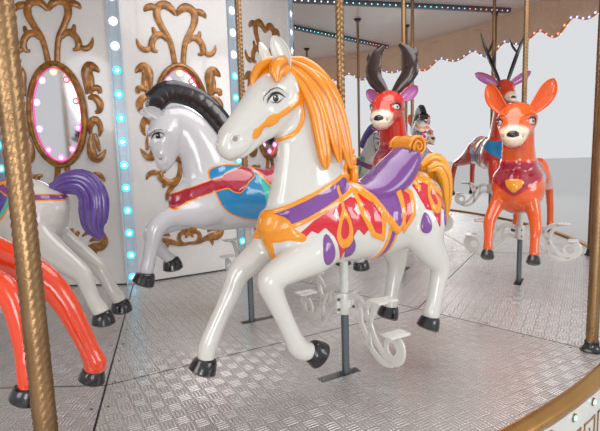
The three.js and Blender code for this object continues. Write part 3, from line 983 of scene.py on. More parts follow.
def build_valance():
    """Scalloped rounding boards: an upright wall whose lower edge follows the scallops, a rolled bead
    along it, lamps on the bead, and framed panels with lamps on the outside."""
    angle = full_turn(VALANCE_COLUMNS)
    edge = scallop_edge(angle)
    high = VALANCE_HIGH[2] - 0.002
    inner = VALANCE_RADIUS - 0.03
    outer = VALANCE_RADIUS - 0.012
    rows = [(inner, high), (outer, high), (outer, 0.5), (outer, 0.0), (inner, 0.0), (inner, 0.5)]
    grid = [around(radius, angle, part if part > 1 else edge + (high - edge) * part)
            for radius, part in rows]
    boards = Piece().loop(np.stack(grid))
    middle = (inner + outer) / 2
    bead = around(middle, angle, edge)
    boards.loop(sweep(bead, ring(6, 0.014, 0.014), UPWARD, loop=True), 1)
    lamps = int(2 * pi * middle / sizes().edge_bulb_step)
    turn = np.arange(lamps) * 2 * pi / lamps
    places = around(inner - 0.006, turn, scallop_edge(turn) + 0.006)
    matrices = facing(places, -unit(places * (1, 1, 0)) - (0, 0, 0.5))
    red = np.abs(turn % SECTOR - RED_RUN[0]) < RED_RUN[1]
    add_bulbs(boards, matrices[red], 2)
    add_bulbs(boards, matrices[~red], 3)
    out_places = places * ((outer + 0.004) / (inner - 0.006), (outer + 0.004) / (inner - 0.006), 1)
    add_bulbs(boards, facing(out_places, places * (1, 1, 0)), 4)
    finishes = [plain("peach"), plain("orange"), bulb_glow("red"), bulb_glow("blue"), bulb_glow("warm")]
    boards.object("rounding_boards", finishes, "valance_board", ["valance"])
    build_board_panels(outer)


def build_board_panels(outer):
    """Outside of the rounding boards: an oval mirror in a gilt ring for each bay, scrolls beside it,
    and a moulding along the top."""
    panel = Piece()
    height = VALANCE_HIGH[2] - 0.3
    outline = oval(0.26, 0.17, 40)
    path = on_panel(outline, outer + 0.004, height)
    panel.loop(sweep(path, ring(8, 0.014, 0.026), OUTWARD, loop=True))
    for points in mirrored([
            [(0.3, 0.0, 0.03), (0.42, 0.05, 0.034), (0.56, 0.02, 0.034), (0.64, -0.05, 0.028),
             (0.6, -0.11, 0.022), (0.54, -0.08, 0.012)],
            [(0.34, -0.06, 0.02), (0.42, -0.13, 0.026), (0.5, -0.15, 0.018), (0.56, -0.19, 0.006)],
            [(0.4, 0.06, 0.016), (0.48, 0.12, 0.024), (0.57, 0.14, 0.018), (0.64, 0.12, 0.006)]]):
        panel.patch(stroke(points) + (outer, 0, height))
    flat = oval(0.245, 0.155, 32)
    plane = on_panel(flat, outer + 0.004, height)
    panel.patch(np.stack((plane - (0.012, 0, 0), plane)), 1)
    placed = Piece().copies(panel, turns())
    placed.points = [bend_to_wall(points, outer) for points in placed.points]
    mould = [(outer - 0.006, -0.05), (outer + 0.006, -0.045), (outer + 0.012, -0.02), (outer + 0.006, 0.0),
             (outer - 0.006, 0.0)]
    placed.loop(lathe(np.array(mould) + (0, VALANCE_HIGH[2] - 0.004), sizes().rim_steps))
    placed.object("board_carvings", [gilt(), mirror()], "valance_board")


def bend_to_wall(points, radius):
    """Bends flat panels onto the round wall: each point keeps its height, its distance from the flat
    panel becomes its distance from the wall, and its distance along it becomes an arc."""
    angle = np.arctan2(points[:, 1], points[:, 0])
    sector = np.round(angle / SECTOR) * SECTOR
    flat_out = points[:, 0] * np.cos(sector) + points[:, 1] * np.sin(sector)
    along = points[:, 1] * np.cos(sector) - points[:, 0] * np.sin(sector)
    turned = sector + along / radius
    return around(flat_out, turned, points[:, 2])


# Roof and crown

ROOF_RIBS = 24
ROOF_SAG = 0.07
COLUMNS_A_RIB = 10
CROWN_COLUMNS = 72


def build_roof():
    """A cloth cone stretched over ribs: straight along the ribs and sagging between them by the
    squared sine of the angle, with a lip at the eaves, seams on the ribs and a closed underside."""
    angle = full_turn(ROOF_RIBS * COLUMNS_A_RIB)
    slope = np.linspace(0, 1, 16)
    neck = CROWN_HIGH[0] - 0.02
    eaves = ROOF_HIGH[0] - 0.004
    lip = ROOF_LOW[2] + 0.15
    top = ROOF_HIGH[2] - 0.004
    between = np.sin(angle * ROOF_RIBS / 2) ** 2
    rows = [(eaves, ROOF_LOW[2] + 0.002, 0.0), (eaves, ROOF_LOW[2] + 0.075, 0.0)]
    for parts, inset, thin in ((slope, 0.0, 0.0), (slope[::-3], 0.02, 0.006)):
        for part in parts:
            sag = ROOF_SAG * sin(pi * min(1, part * 1.05)) * (1 - 0.6 * part)
            height = lip - inset + (top - lip - thin) * part
            rows.append((eaves - inset + (neck - eaves) * part, height, sag))
    rows.append((eaves - 0.012, ROOF_LOW[2] + 0.002, 0.0))
    cover = Piece().loop(np.stack([around(reach, angle, height - sag * between)
                                   for reach, height, sag in rows]))
    for order in range(ROOF_RIBS):
        turn = order * 2 * pi / ROOF_RIBS
        line = np.array([(eaves + (neck - eaves) * part, 0, lip + (top - lip) * part + 0.002)
                         for part in np.linspace(0.01, 1, 8)])
        tape = sweep(line, ring(6, 0.022, 0.004, 0.6), SIDEWAYS)
        cover.copies(Piece().patch(tape), turns(1, turn), 1)
    cover.loop(sweep(around(eaves, full_turn(180), lip), ring(8, 0.02, 0.012), UPWARD, loop=True), 2)
    cover.object("roof_cover", [roof_cloth(), plain("peach"), gilt()], "roof_cover", ["roof"])
    base = CROWN_LOW[2] + 0.002
    tall = CROWN_HIGH[2] - base
    reach = CROWN_HIGH[0] - 0.004
    outline = curve([(reach, 0.0), (reach, 0.05), (reach * 0.9, 0.075), (reach * 0.86, 0.13),
                     (reach * 0.62, 0.3), (reach * 0.36, 0.42), (reach * 0.24, 0.5),
                     (reach * 0.3, 0.54), (reach * 0.2, 0.58), (reach * 0.12, 0.62),
                     (reach * 0.26, 0.7), (reach * 0.26, 0.76), (reach * 0.1, 0.84),
                     (reach * 0.05, 0.92), (reach * 0.02, 0.995)], 4)
    turned = lathe(outline * (1, tall) + (0, base), CROWN_COLUMNS)
    flute = 1 - 0.035 * np.abs(np.sin(full_turn(CROWN_COLUMNS) * 8))
    band = (outline[:, 1] > 0.13) & (outline[:, 1] < 0.5)
    turned[band, :, :2] *= flute[None, :, None]
    Piece().patch(turned).object("crown_finial", [gilt()], "gold_trim", ["crown"])


def build_base():
    """The ground frame, the column and the floor joists keep their nodes."""
    for node in ("base_frame", "centre_column", "deck_frame"):
        dress(node, brushed("dark_steel", 0.45))


# Seats

RISES = {"outer": (0.0, 0.04, 0.2, 0.09), "inner": (0.05, 0.2, 0.09, 0.0)}


def seat_matrix(row, number):
    """A seat's own frame: origin at the pole, above the floor by the seat's rise at rest, x along
    the travel, y outward."""
    low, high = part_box(f"{row}_pole_{number:02d}")
    angle = FIRST_SEAT + SECTOR * (number - 1)
    found = np.eye(4)
    found[:3, 0] = (sin(angle), -cos(angle), 0)
    found[:3, 1] = (cos(angle), sin(angle), 0)
    rise = RISES[row][(number - 1) % 4]
    found[:3, 3] = ((low[0] + high[0]) / 2, (low[1] + high[1]) / 2, DECK_TOP + rise)
    return found


ARM = mm([
    [(25, 412, 12), (90, 428, 12), (150, 405, 11), (190, 340, 11), (235, 268, 11), (290, 222, 11),
     (355, 205, 12), (405, 235, 12), (412, 290, 12), (375, 325, 12)],
    [(25, 338, 12), (85, 350, 11), (135, 310, 11), (175, 255, 11), (220, 205, 11), (290, 182, 11),
     (350, 196, 11)],
    [(160, 385, 11), (190, 420, 11), (235, 448, 10), (300, 456, 8), (350, 456, 7)],
    [(195, 330, 10), (215, 375, 10), (240, 425, 10), (270, 452, 8)],
    [(120, 418, 8), (130, 360, 8), (128, 320, 8)],
    [(205, 315, 8), (195, 270, 8), (200, 225, 8)],
])
EYE_OF_SCROLL = (0.35, 0.262, 0.04)
TREADS = [(0.295, 0.4625), (0.372, 0.3355)]
FOOTREST_DROP = -0.018
CLAMP_HEIGHT = 0.36
SADDLE_HEIGHT = 0.78


def build_footrest():
    """A clamp hub with its bolts, and on each side a cut-out scroll arm with two flat treads."""
    rest = Piece()
    rest.patch(lathe([(0.021, 0.325), (0.034, 0.325), (0.036, 0.33), (0.036, 0.425), (0.034, 0.43),
                      (0.021, 0.43)], 24), close=False)
    rest.patch(bar((0.0, 0.0, 0.33), (0.0, 0.0, 0.425), SIDEWAYS, 0.012, 0.052, 0.1, 12))
    for height in (0.352, 0.402):
        for end in (-1, 1):
            bolt = lathe([(0.008, 0.0), (0.008, 0.006), (0.005, 0.009)], 6)
            rest.copies(Piece().patch(bolt), facing([(end * 0.044, 0.011, height)], (0.0, 1.0, 0.0)), 1)
    for side in (-1, 1):
        for points in ARM:
            line = curve(points, 4)
            path = on_panel(line[:, :2] * (side, 1), 0, 0)
            size = np.stack((np.full(len(line), 0.004), line[:, 2] * 1.55), 1)
            rest.patch(sweep(path, ring(8, power=0.4, turn=pi / 8), OUTWARD, size))
        out, height, reach = EYE_OF_SCROLL
        turn = full_turn(20)
        circle = np.stack((0 * turn, side * (out + reach * np.cos(turn)), height + reach * np.sin(turn)), 1)
        rest.loop(sweep(circle, ring(8, 0.0045, 0.013, 0.4), OUTWARD, loop=True))
        for out, height in TREADS:
            rest.patch(bar((-0.055, side * out, height), (0.055, side * out, height), SIDEWAYS,
                           0.036, 0.005, 0.1, 12))
            for offset in np.linspace(-0.024, 0.024, 4):
                rest.patch(bar((-0.048, side * out + offset, height + 0.005),
                               (0.048, side * out + offset, height + 0.005), SIDEWAYS, 0.002, 0.0015,
                               0.3, 6, 0.001))
    return rest


def build_poles():
    """Each pole: twisted brass above the figure, white tube through it to the clamp, grey below. The
    ends of all poles are level, so each is shorter below by its seat's rise."""
    rest = build_footrest()
    lowered = Matrix.Translation((0, 0, FOOTREST_DROP))
    finishes = [plain("white"), brushed("steel", 0.3), brass()]
    for row in ("outer", "inner"):
        for number in range(1, SECTORS + 1):
            rise = RISES[row][(number - 1) % 4]
            pole = Piece().copies(rest, [lowered])
            for slot, radius, low, high in ((0, POLE_RADIUS + 0.001, CLAMP_HEIGHT, SADDLE_HEIGHT),
                                            (1, POLE_RADIUS - 0.001, POLE_LOW - rise, CLAMP_HEIGHT)):
                pole.patch(lathe([(radius, low), (radius, high)], 16), slot)
            pole.patch(twisted(SADDLE_HEIGHT, POLE_HIGH - rise, POLE_RADIUS, sizes().twist_lead, 6, 18,
                               0.085), 2)
            placed = Piece().copies(pole, seat_matrix(row, number)[None])
            placed.object(f"{row}_pole_{number:02d}_sleeve", finishes, "brass_pole",
                          [f"{row}_pole_{number:02d}"], f"{row}_seat_{number:02d}")


# Carved figures, in a seat's own frame

# A leg's stations run from the trunk to the hoof: x, y, z, half width and half depth in millimetres

FOLDED_FORE = [
    [(140, 70, 690, 80, 110), (220, 98, 648, 78, 94), (330, 110, 618, 68, 77), (410, 118, 592, 60, 63),
     (455, 122, 563, 53, 55), (440, 122, 500, 46, 48), (404, 122, 415, 39, 41), (364, 122, 320, 38, 40),
     (332, 122, 252, 42, 46), (297, 122, 224, 40, 42), (268, 122, 222, 36, 37)],
    [(280, -85, 730, 70, 120), (375, -100, 645, 66, 78), (445, -105, 598, 58, 63), (497, -107, 560, 52, 54),
     (545, -107, 465, 42, 45), (605, -107, 360, 38, 40), (650, -107, 275, 41, 43), (668, -107, 230, 39, 41),
     (672, -107, 197, 38, 39)],
]
RAISED_FORE = [
    [(240, 85, 740, 70, 120), (340, 100, 700, 68, 85), (450, 112, 700, 58, 66), (535, 118, 690, 53, 57),
     (600, 120, 640, 50, 53), (627, 120, 560, 42, 44), (650, 120, 480, 37, 38), (666, 120, 425, 38, 41),
     (673, 120, 395, 37, 39)],
    [(280, -85, 730, 70, 120), (380, -100, 660, 64, 78), (470, -108, 630, 55, 60), (555, -110, 605, 50, 53),
     (578, -112, 550, 43, 47), (540, -114, 490, 38, 41), (495, -116, 430, 36, 38),
     (468, -118, 403, 37, 39)],
]
HANGING_FORE = [
    [(270, 85, 760, 85, 140), (315, 100, 660, 70, 95), (360, 125, 560, 58, 66), (400, 140, 490, 50, 55),
     (420, 143, 450, 49, 52), (440, 143, 400, 40, 41), (465, 143, 345, 38, 40), (480, 143, 300, 41, 43),
     (488, 143, 280, 40, 41)],
    [(280, -85, 760, 85, 140), (340, -105, 670, 70, 95), (410, -135, 580, 58, 66), (465, -152, 520, 51, 56),
     (490, -155, 480, 48, 51), (515, -153, 430, 40, 41), (540, -150, 370, 38, 40), (556, -148, 330, 41, 43),
     (562, -148, 310, 40, 41)],
]
STANDING_HIND = [
    [(-400, 85, 800, 90, 150), (-405, 110, 690, 87, 128), (-440, 118, 600, 68, 87),
     (-495, 120, 525, 54, 66), (-515, 120, 470, 46, 54), (-497, 120, 400, 40, 45), (-473, 120, 310, 38, 41),
     (-457, 120, 262, 42, 46), (-450, 120, 232, 40, 44)],
    [(-380, -85, 780, 90, 140), (-385, -110, 670, 84, 113), (-405, -118, 580, 64, 80),
     (-430, -120, 500, 52, 62), (-430, -120, 450, 45, 51), (-413, -120, 380, 39, 43),
     (-396, -120, 310, 38, 41), (-386, -120, 260, 41, 44), (-383, -120, 235, 40, 43)],
]
STRETCHED_HIND = [
    [(-400, 85, 800, 90, 150), (-440, 105, 700, 88, 125), (-530, 112, 620, 71, 92),
     (-640, 114, 535, 54, 65), (-710, 115, 470, 46, 53), (-735, 116, 400, 39, 43), (-760, 117, 330, 38, 40),
     (-785, 118, 285, 41, 44), (-800, 118, 262, 40, 42)],
    [(-380, -85, 780, 90, 140), (-420, -105, 680, 84, 118), (-510, -112, 600, 68, 88),
     (-630, -114, 515, 52, 62), (-705, -115, 450, 44, 50), (-740, -116, 385, 38, 41),
     (-770, -117, 320, 38, 40), (-795, -118, 275, 40, 43), (-810, -118, 250, 40, 42)],
]
LEAPING_HIND = [
    [(-370, 85, 820, 100, 150), (-480, 100, 775, 92, 130), (-620, 115, 725, 80, 102),
     (-780, 125, 690, 66, 78), (-920, 130, 670, 54, 62), (-1005, 132, 640, 48, 55),
     (-1045, 138, 560, 41, 45), (-1070, 145, 450, 39, 41), (-1088, 148, 340, 38, 40),
     (-1093, 150, 285, 41, 45), (-1086, 150, 255, 40, 42)],
    [(-360, -85, 810, 100, 150), (-460, -100, 760, 92, 125), (-590, -115, 710, 78, 100),
     (-740, -125, 675, 64, 75), (-870, -130, 655, 53, 60), (-960, -132, 625, 48, 54),
     (-1005, -138, 545, 41, 45), (-1035, -145, 440, 39, 41), (-1055, -148, 330, 38, 40),
     (-1062, -150, 275, 41, 45), (-1055, -150, 245, 40, 42)],
]
STRIDING_HIND = [
    [(-370, 85, 820, 100, 150), (-460, 100, 765, 92, 130), (-580, 115, 700, 80, 100),
     (-700, 125, 655, 66, 78), (-820, 130, 620, 54, 62), (-900, 132, 575, 48, 55), (-930, 138, 500, 42, 45),
     (-945, 142, 380, 40, 41), (-950, 145, 270, 42, 45), (-945, 145, 240, 40, 42)],
    [(-360, -85, 800, 100, 150), (-500, -100, 730, 98, 125), (-650, -115, 665, 86, 102),
     (-800, -125, 600, 72, 82), (-900, -130, 530, 62, 68), (-960, -135, 440, 55, 58),
     (-1000, -140, 340, 49, 51), (-1035, -145, 240, 46, 48), (-1050, -147, 190, 52, 56),
     (-1040, -147, 165, 48, 50)],
]

HORSE_TORSO = [(435, 790, 60, 90), (390, 775, 108, 140), (280, 768, 142, 185), (100, 765, 155, 200),
               (-120, 735, 160, 175), (-280, 755, 162, 185), (-420, 800, 156, 195), (-520, 835, 120, 150),
               (-575, 860, 55, 80)]
DEER_TORSO = [(400, 780, 80, 90), (355, 757, 150, 155), (250, 735, 187, 197), (80, 735, 165, 188),
              (-120, 730, 148, 158), (-280, 752, 148, 165), (-390, 785, 140, 168), (-460, 810, 100, 120),
              (-500, 825, 45, 60)]

CHARGER = {
    "torso": [(380, 800, 55, 85), (345, 785, 108, 138)] + HORSE_TORSO[2:],
    "neck": [(190, 830, 120, 210), (180, 950, 105, 185), (178, 1080, 88, 160), (200, 1210, 74, 132),
             (235, 1330, 66, 100), (262, 1410, 60, 70)],
    "head": [(262, 1400, 66, 75), (322, 1332, 88, 120), (382, 1270, 82, 120), (445, 1218, 66, 98),
             (500, 1170, 60, 86), (542, 1132, 62, 78), (568, 1108, 50, 58)],
    "legs": FOLDED_FORE + STANDING_HIND,
    "ears": [((318, 62, 1415), (338, 70, 1485), (372, 64, 1560), 36)],
    "eye": (378, 1310, 32), "nostril": (548, 1148, 24),
    "mouth": [(445, 1155), (490, 1100), (540, 1066), (580, 1058)],
}
PRANCER = {
    "torso": HORSE_TORSO,
    "neck": [(200, 830, 120, 210), (235, 950, 102, 170), (275, 1060, 88, 138), (330, 1165, 78, 116),
             (385, 1220, 70, 100), (440, 1245, 66, 82)],
    "head": [(445, 1255, 66, 72), (480, 1200, 78, 90), (490, 1140, 78, 94), (492, 1080, 64, 84),
             (496, 1035, 55, 68), (502, 998, 52, 56), (508, 975, 40, 40)],
    "legs": RAISED_FORE + STRETCHED_HIND,
    "ears": [((500, 45, 1235), (545, 56, 1272), (605, 62, 1295), 30)],
    "eye": (540, 1150, 27), "nostril": (530, 1022, 14),
    "mouth": [(455, 1020), (485, 995), (515, 975), (540, 962)],
}
DEER = {
    "torso": DEER_TORSO,
    "neck": [(190, 830, 130, 175), (240, 930, 120, 140), (280, 1030, 110, 112), (310, 1120, 108, 100),
             (330, 1200, 105, 90)],
    "head": [(320, 1225, 105, 100), (370, 1228, 132, 120), (430, 1195, 126, 112), (480, 1150, 104, 96),
             (525, 1110, 88, 84), (558, 1085, 76, 70), (580, 1075, 50, 46)],
    "legs": HANGING_FORE + LEAPING_HIND,
    "ears": [((335, 80, 1270), (320, 165, 1375), (300, 215, 1495), 58)],
    "eye": (475, 1205, 36), "nostril": (572, 1105, 12),
    "mouth": [(500, 1070), (535, 1045), (565, 1030), (590, 1028)],
    "nose": (590, 1115, 36),
}
REINDEER = {
    **DEER,
    "legs": HANGING_FORE + STANDING_HIND,
    "ears": [((335, 85, 1270), (325, 150, 1310), (310, 215, 1365), 50)],
    "antlers": [
        [(330, 30, 1320, 50), (315, 85, 1385, 58), (300, 140, 1455, 64), (295, 155, 1545, 64),
         (292, 125, 1640, 54), (290, 65, 1705, 30)],
        [(305, 130, 1420, 40), (295, 180, 1475, 40), (290, 200, 1530, 22)],
        [(295, 150, 1580, 40), (290, 185, 1620, 34), (285, 190, 1670, 14)]],
}
STAG = {
    "torso": [(x, z + 45, wide + 4, deep + 18) for x, z, wide, deep in DEER_TORSO],
    "neck": [(190, 860, 112, 190), (225, 1000, 96, 152), (255, 1140, 86, 120), (280, 1280, 78, 100),
             (300, 1400, 78, 90), (310, 1460, 80, 84)],
    "head": [(305, 1500, 82, 85), (345, 1515, 96, 98), (400, 1485, 90, 90), (455, 1445, 74, 75),
             (510, 1405, 62, 62), (555, 1375, 56, 52), (580, 1360, 38, 36)],
    "legs": HANGING_FORE + LEAPING_HIND,
    "ears": [((330, 60, 1545), (315, 180, 1615), (295, 315, 1690), 50)],
    "eye": (405, 1505, 30), "nostril": (565, 1388, 11),
    "mouth": [(505, 1368), (540, 1348), (570, 1335), (585, 1332)],
    "nose": (585, 1385, 26),
    "antlers": [
        [(320, 35, 1560, 26), (300, 80, 1680, 25), (275, 140, 1830, 23), (265, 190, 1960, 19),
         (280, 235, 2070, 14), (295, 262, 2130, 7)],
        [(285, 110, 1760, 18), (340, 120, 1840, 16), (375, 125, 1930, 7)],
        [(270, 165, 1900, 16), (240, 120, 1980, 14), (235, 90, 2060, 6)]],
}
ROE = {**DEER, "legs": HANGING_FORE + STRIDING_HIND}


def mould(slim, iris, tables):
    """A figure's shape: how slim its legs are, how wide its irises, and its tables in millimetres.
    Those of the trunk, neck and head lie on the middle line and leave out y."""
    shape = {name: mm(table) for name, table in tables.items()}
    for name in ("torso", "neck", "head"):
        shape[name] = [(x, 0.0, z, wide, deep) for x, z, wide, deep in shape[name]]
    return {"slim": slim, "iris": iris, "horse": "nose" not in shape, **shape}


MOULDS = {"charger": mould(1.0, 0.5, CHARGER), "prancer": mould(1.0, 0.58, PRANCER),
          "deer": mould(0.84, 0.42, DEER), "roe": mould(0.84, 0.42, ROE),
          "reindeer": mould(0.84, 0.42, REINDEER), "stag": mould(0.86, 0.5, STAG)}


def limb(stations, slim=1.0, count=24):
    """A rounded limb through stations of place, half width and half depth, joined by smooth curves
    and closed by half-round ends."""
    line = curve(stations, 5)
    line[:, 3:] *= slim
    ends = []
    for first, second, order in ((line[0], line[1], 1), (line[-1], line[-2], -1)):
        away = unit(first[:3] - second[:3])
        part = np.radians((80, 55, 25)) if order == 1 else np.radians((25, 55, 80))
        reach = min(first[3], first[4]) * 0.75
        cap = np.repeat(first[None], len(part), 0)
        cap[:, :3] += away * (np.sin(part) * reach)[:, None]
        cap[:, 3:] *= np.cos(part)[:, None]
        ends.append(cap)
    line = np.vstack((ends[0], line, ends[1]))
    return sweep(line[:, :3], ring(count), SIDEWAYS, line[:, 3:])


class Skin:
    """A figure's fused skin: its points, faces and normals, and a search tree to lay trim on it."""

    def __init__(self, points, faces, normals):
        self.points = points
        self.faces = faces
        self.normals = normals
        self.tree = BVHTree.FromPolygons(points.tolist(), faces.tolist())

    def lay(self, flat, side, lift=0.0):
        """Side-view points set on the skin: the first hit of a ray from that side, or the nearest
        point where the ray passes by. Returns places and normals."""
        found = []
        for across, up in flat:
            hit, normal = self.tree.ray_cast(Vector((across, side, up)), Vector((0, -side, 0)))[:2]
            if hit is None or hit.y * side < -0.02:
                hit, normal = self.tree.find_nearest(Vector((across, side * 0.05, up)))[:2]
            found.append((*(hit + normal * lift), *normal))
        found = np.array(found)
        return found[:, :3], unit(found[:, 3:])


@cache
def fused(mould, grain):
    """Lofts of trunk, neck, head and legs fused by a voxel remesh of the given grain and smoothed,
    then pressed in at eyes, nostrils and mouth and raised at the cheeks and brows."""
    shape = MOULDS[mould]
    work = Piece()
    for name in ("torso", "neck", "head"):
        work.patch(limb(shape[name], count=32))
    for stations in shape["legs"]:
        work.patch(limb(stations, shape["slim"]))
    mesh = bpy.data.meshes.new("rough")
    mesh.from_pydata(np.concatenate(work.points).tolist(), [], np.concatenate(work.faces).tolist())
    close_seams(mesh)
    rough = bpy.data.objects.new("rough", mesh)
    enter(rough)
    remesh = rough.modifiers.new("Fuse", "REMESH")
    remesh.mode = "VOXEL"
    remesh.voxel_size = grain
    soften = rough.modifiers.new("Soften", "SMOOTH")
    soften.factor = 0.5
    soften.iterations = max(3, int(0.06 / grain))
    done = bpy.data.meshes.new_from_object(rough.evaluated_get(bpy.context.evaluated_depsgraph_get()))
    points, faces, normals = read_mesh(done)
    points = points + normals * carve(points, shape)[:, None]
    bpy.data.objects.remove(rough)
    bpy.data.meshes.remove(mesh)
    bpy.data.meshes.remove(done)
    return Skin(points, faces, normals)


def read_mesh(mesh):
    """Points, four-sided faces and point normals of a mesh as arrays."""
    found = []
    for items, name, size, columns, kind in (
            (mesh.vertices, "co", 3, 3, float), (mesh.loops, "vertex_index", 1, 4, np.int32),
            (mesh.vertex_normals, "vector", 3, 3, float)):
        values = np.empty(len(items) * size, kind)
        items.foreach_get(name, values)
        found.append(values.reshape(-1, columns))
    return found


def near(points, path, radius):
    """A soft mark round a path: the bell curve of the distance to it over the radius."""
    path = np.atleast_2d(path)
    return np.exp(-(line_distance(points, path) / radius) ** 2)


def line_distance(points, path, loop=False):
    """The distance of each point to the nearest stretch of a line of straight stretches."""
    path = np.asarray(path, float)
    if len(path) == 1:
        return np.linalg.norm(points - path[0], axis=1)
    ends = np.vstack((path[1:], path[:1])) if loop else path[1:]
    starts = path if loop else path[:-1]
    best = np.full(len(points), np.inf)
    for start, end in zip(starts, ends):
        along = end - start
        part = np.clip((points - start) @ along / max(along @ along, 1e-12), 0, 1)
        best = np.minimum(best, np.linalg.norm(points - start - part[:, None] * along, axis=1))
    return best


def carve(points, shape):
    """How far each point moves out: hollows at nostrils, mouth line and eye corners, and rises on the
    brow, cheek and nostril's edge, all by bell curves of the distance to them."""
    flat = points[:, [0, 2]]
    *eye, eye_size = shape["eye"]
    *nose, nose_size = shape["nostril"]
    dents = ((-0.010, eye, eye_size * 0.9),
             (0.012, eye + np.array(mm([(-35, 24), (0, 36), (30, 24)])), 0.016),
             (-0.02, nose, nose_size * 0.8),
             (0.008, nose + np.array(mm([(4, 24)])), nose_size),
             (-0.006, curve(shape["mouth"], 3), 0.007),
             (0.008, eye + np.array(mm([(40, -50), (120, -115)])), 0.02),
             (-0.012, eye + np.array(mm([(45, -130)])), 0.03))
    off_axis = np.clip(np.abs(points[:, 1]) / 0.02, 0, 1)
    return off_axis * sum(depth * near(flat, path, radius) for depth, path, radius in dents)


def signed_distance(flat, outline):
    """Distance to a closed outline, positive inside: a point is inside where a level ray from it
    crosses the outline an odd number of times."""
    outline = np.asarray(outline, float)
    distance = line_distance(flat, outline, loop=True)
    crossings = np.zeros(len(flat), int)
    for start, end in zip(outline, np.roll(outline, -1, 0)):
        spans = (start[1] > flat[:, 1]) != (end[1] > flat[:, 1])
        slope = (end[0] - start[0]) / (end[1] - start[1] if end[1] != start[1] else 1e-12)
        crossings += spans & (flat[:, 0] < start[0] + (flat[:, 1] - start[1]) * slope)
    return np.where(crossings % 2 == 1, distance, -distance)


def area(flat, outline, round_steps=0):
    """A mark for a closed shape in millimetres, its corners rounded by a smooth curve where steps are
    given."""
    outline = mm(outline)
    return signed_distance(flat, curve(outline, round_steps, True) if round_steps else outline)


def band(flat, path, half):
    """A mark for a strap in millimetres: the half width less the distance to its middle line."""
    return half / 1000 - line_distance(flat, curve(mm(path), 5))


def spot(flat, centre, radius):
    """A mark for a disc in millimetres."""
    return radius / 1000 - line_distance(flat, mm([centre]))


def drop(flat, centre, half_wide, half_high):
    """A mark for a hanging drop in millimetres: an ellipse that narrows towards its top."""
    side, height = (flat - mm(centre)).T
    along = height / (half_high / 1000)
    wide = half_wide / 1000 * (1 - 0.35 * np.clip(along, -1, 1))
    return half_wide / 1000 * (1 - np.hypot(side / wide, along))


def parade_harness(points):
    """Marks of the front horse: cloth, drops, strap, saddle, panels and orange trim."""
    flat = points[:, [0, 2]]
    cloth = union([
        area(flat, [(335, 735), (250, 800), (140, 850), (40, 885), (-40, 850), (-50, 760), (-5, 710),
                    (30, 745), (56, 700), (112, 600), (152, 722), (198, 766), (232, 742), (262, 757),
                    (295, 726)]),
        area(flat, [(-325, 915), (-420, 925), (-515, 870), (-490, 780), (-462, 800), (-434, 700),
                    (-395, 790), (-360, 800)])])
    gaps = union([area(flat, [(155, 815), (125, 785), (130, 850)]),
                  area(flat, [(45, 830), (20, 800), (-12, 835), (10, 860)])])
    cloth = np.minimum(cloth, -gaps)
    drops = union([drop(flat, (194, 672), 33, 66), drop(flat, (58, 660), 27, 48),
                   drop(flat, (-352, 735), 27, 50), drop(flat, (-492, 745), 20, 44)])
    strap = union([band(flat, [(50, 940), (160, 893), (270, 848), (400, 795)], 47),
                   band(flat, [(-175, 780), (-165, 680), (-140, 560)], 30),
                   band(flat, [(-330, 985), (-420, 925), (-510, 860)], 20)])
    panels = union([area(flat, [(35, 955), (-85, 865), (-125, 800), (-125, 665), (-45, 700), (12, 800)]),
                    area(flat, [(-235, 945), (-315, 885), (-305, 775), (-235, 690), (-190, 760)])])
    saddle = area(flat, [(50, 1000), (0, 1060), (-160, 1120), (-370, 1140), (-375, 1000), (-262, 915),
                         (-230, 745), (-190, 700), (-140, 740), (-75, 840), (-20, 920), (30, 965)], 3)
    chest = area(flat, [(550, 850), (420, 838), (352, 815), (330, 770), (285, 735), (300, 712), (350, 722),
                        (400, 710), (550, 720)], 3)
    tongue = area(points[:, [1, 2]], [(-30, 750), (55, 750), (42, 640), (20, 620), (-12, 640)])
    chest = union([chest, np.minimum(tongue, points[:, 0] - 0.25)])
    bridle = union([
        band(flat, [(285, 1430), (258, 1370), (256, 1313), (300, 1280), (360, 1243), (420, 1208),
                    (470, 1160)], 12),
        band(flat, [(250, 1305), (247, 1231), (276, 1175), (341, 1139)], 9.5),
        spot(flat, (258, 1315), 24),
        band(flat, [(385, 1228), (405, 1216)], 21), band(flat, [(452, 1178), (458, 1172)], 20)])
    trim = union([
        chest, bridle,
        band(flat, [(100, 930), (100, 840)], 8), band(flat, [(-315, 960), (-360, 905)], 9),
        band(flat, [(-345, 900), (-390, 985), (-440, 930), (-470, 955)], 9),
        0.008 - np.abs(drop(flat, (100, 752), 30, 68)) * 0.9,
        0.008 - np.abs(drop(flat, (-425, 848), 26, 55)) * 0.9])
    return {"cloth": (cloth, 0.004), "drops": (drops, 0.008), "panels": (panels, 0.008),
            "strap": (strap, 0.007), "saddle": (saddle, 0.018), "trim": (trim, 0.007)}


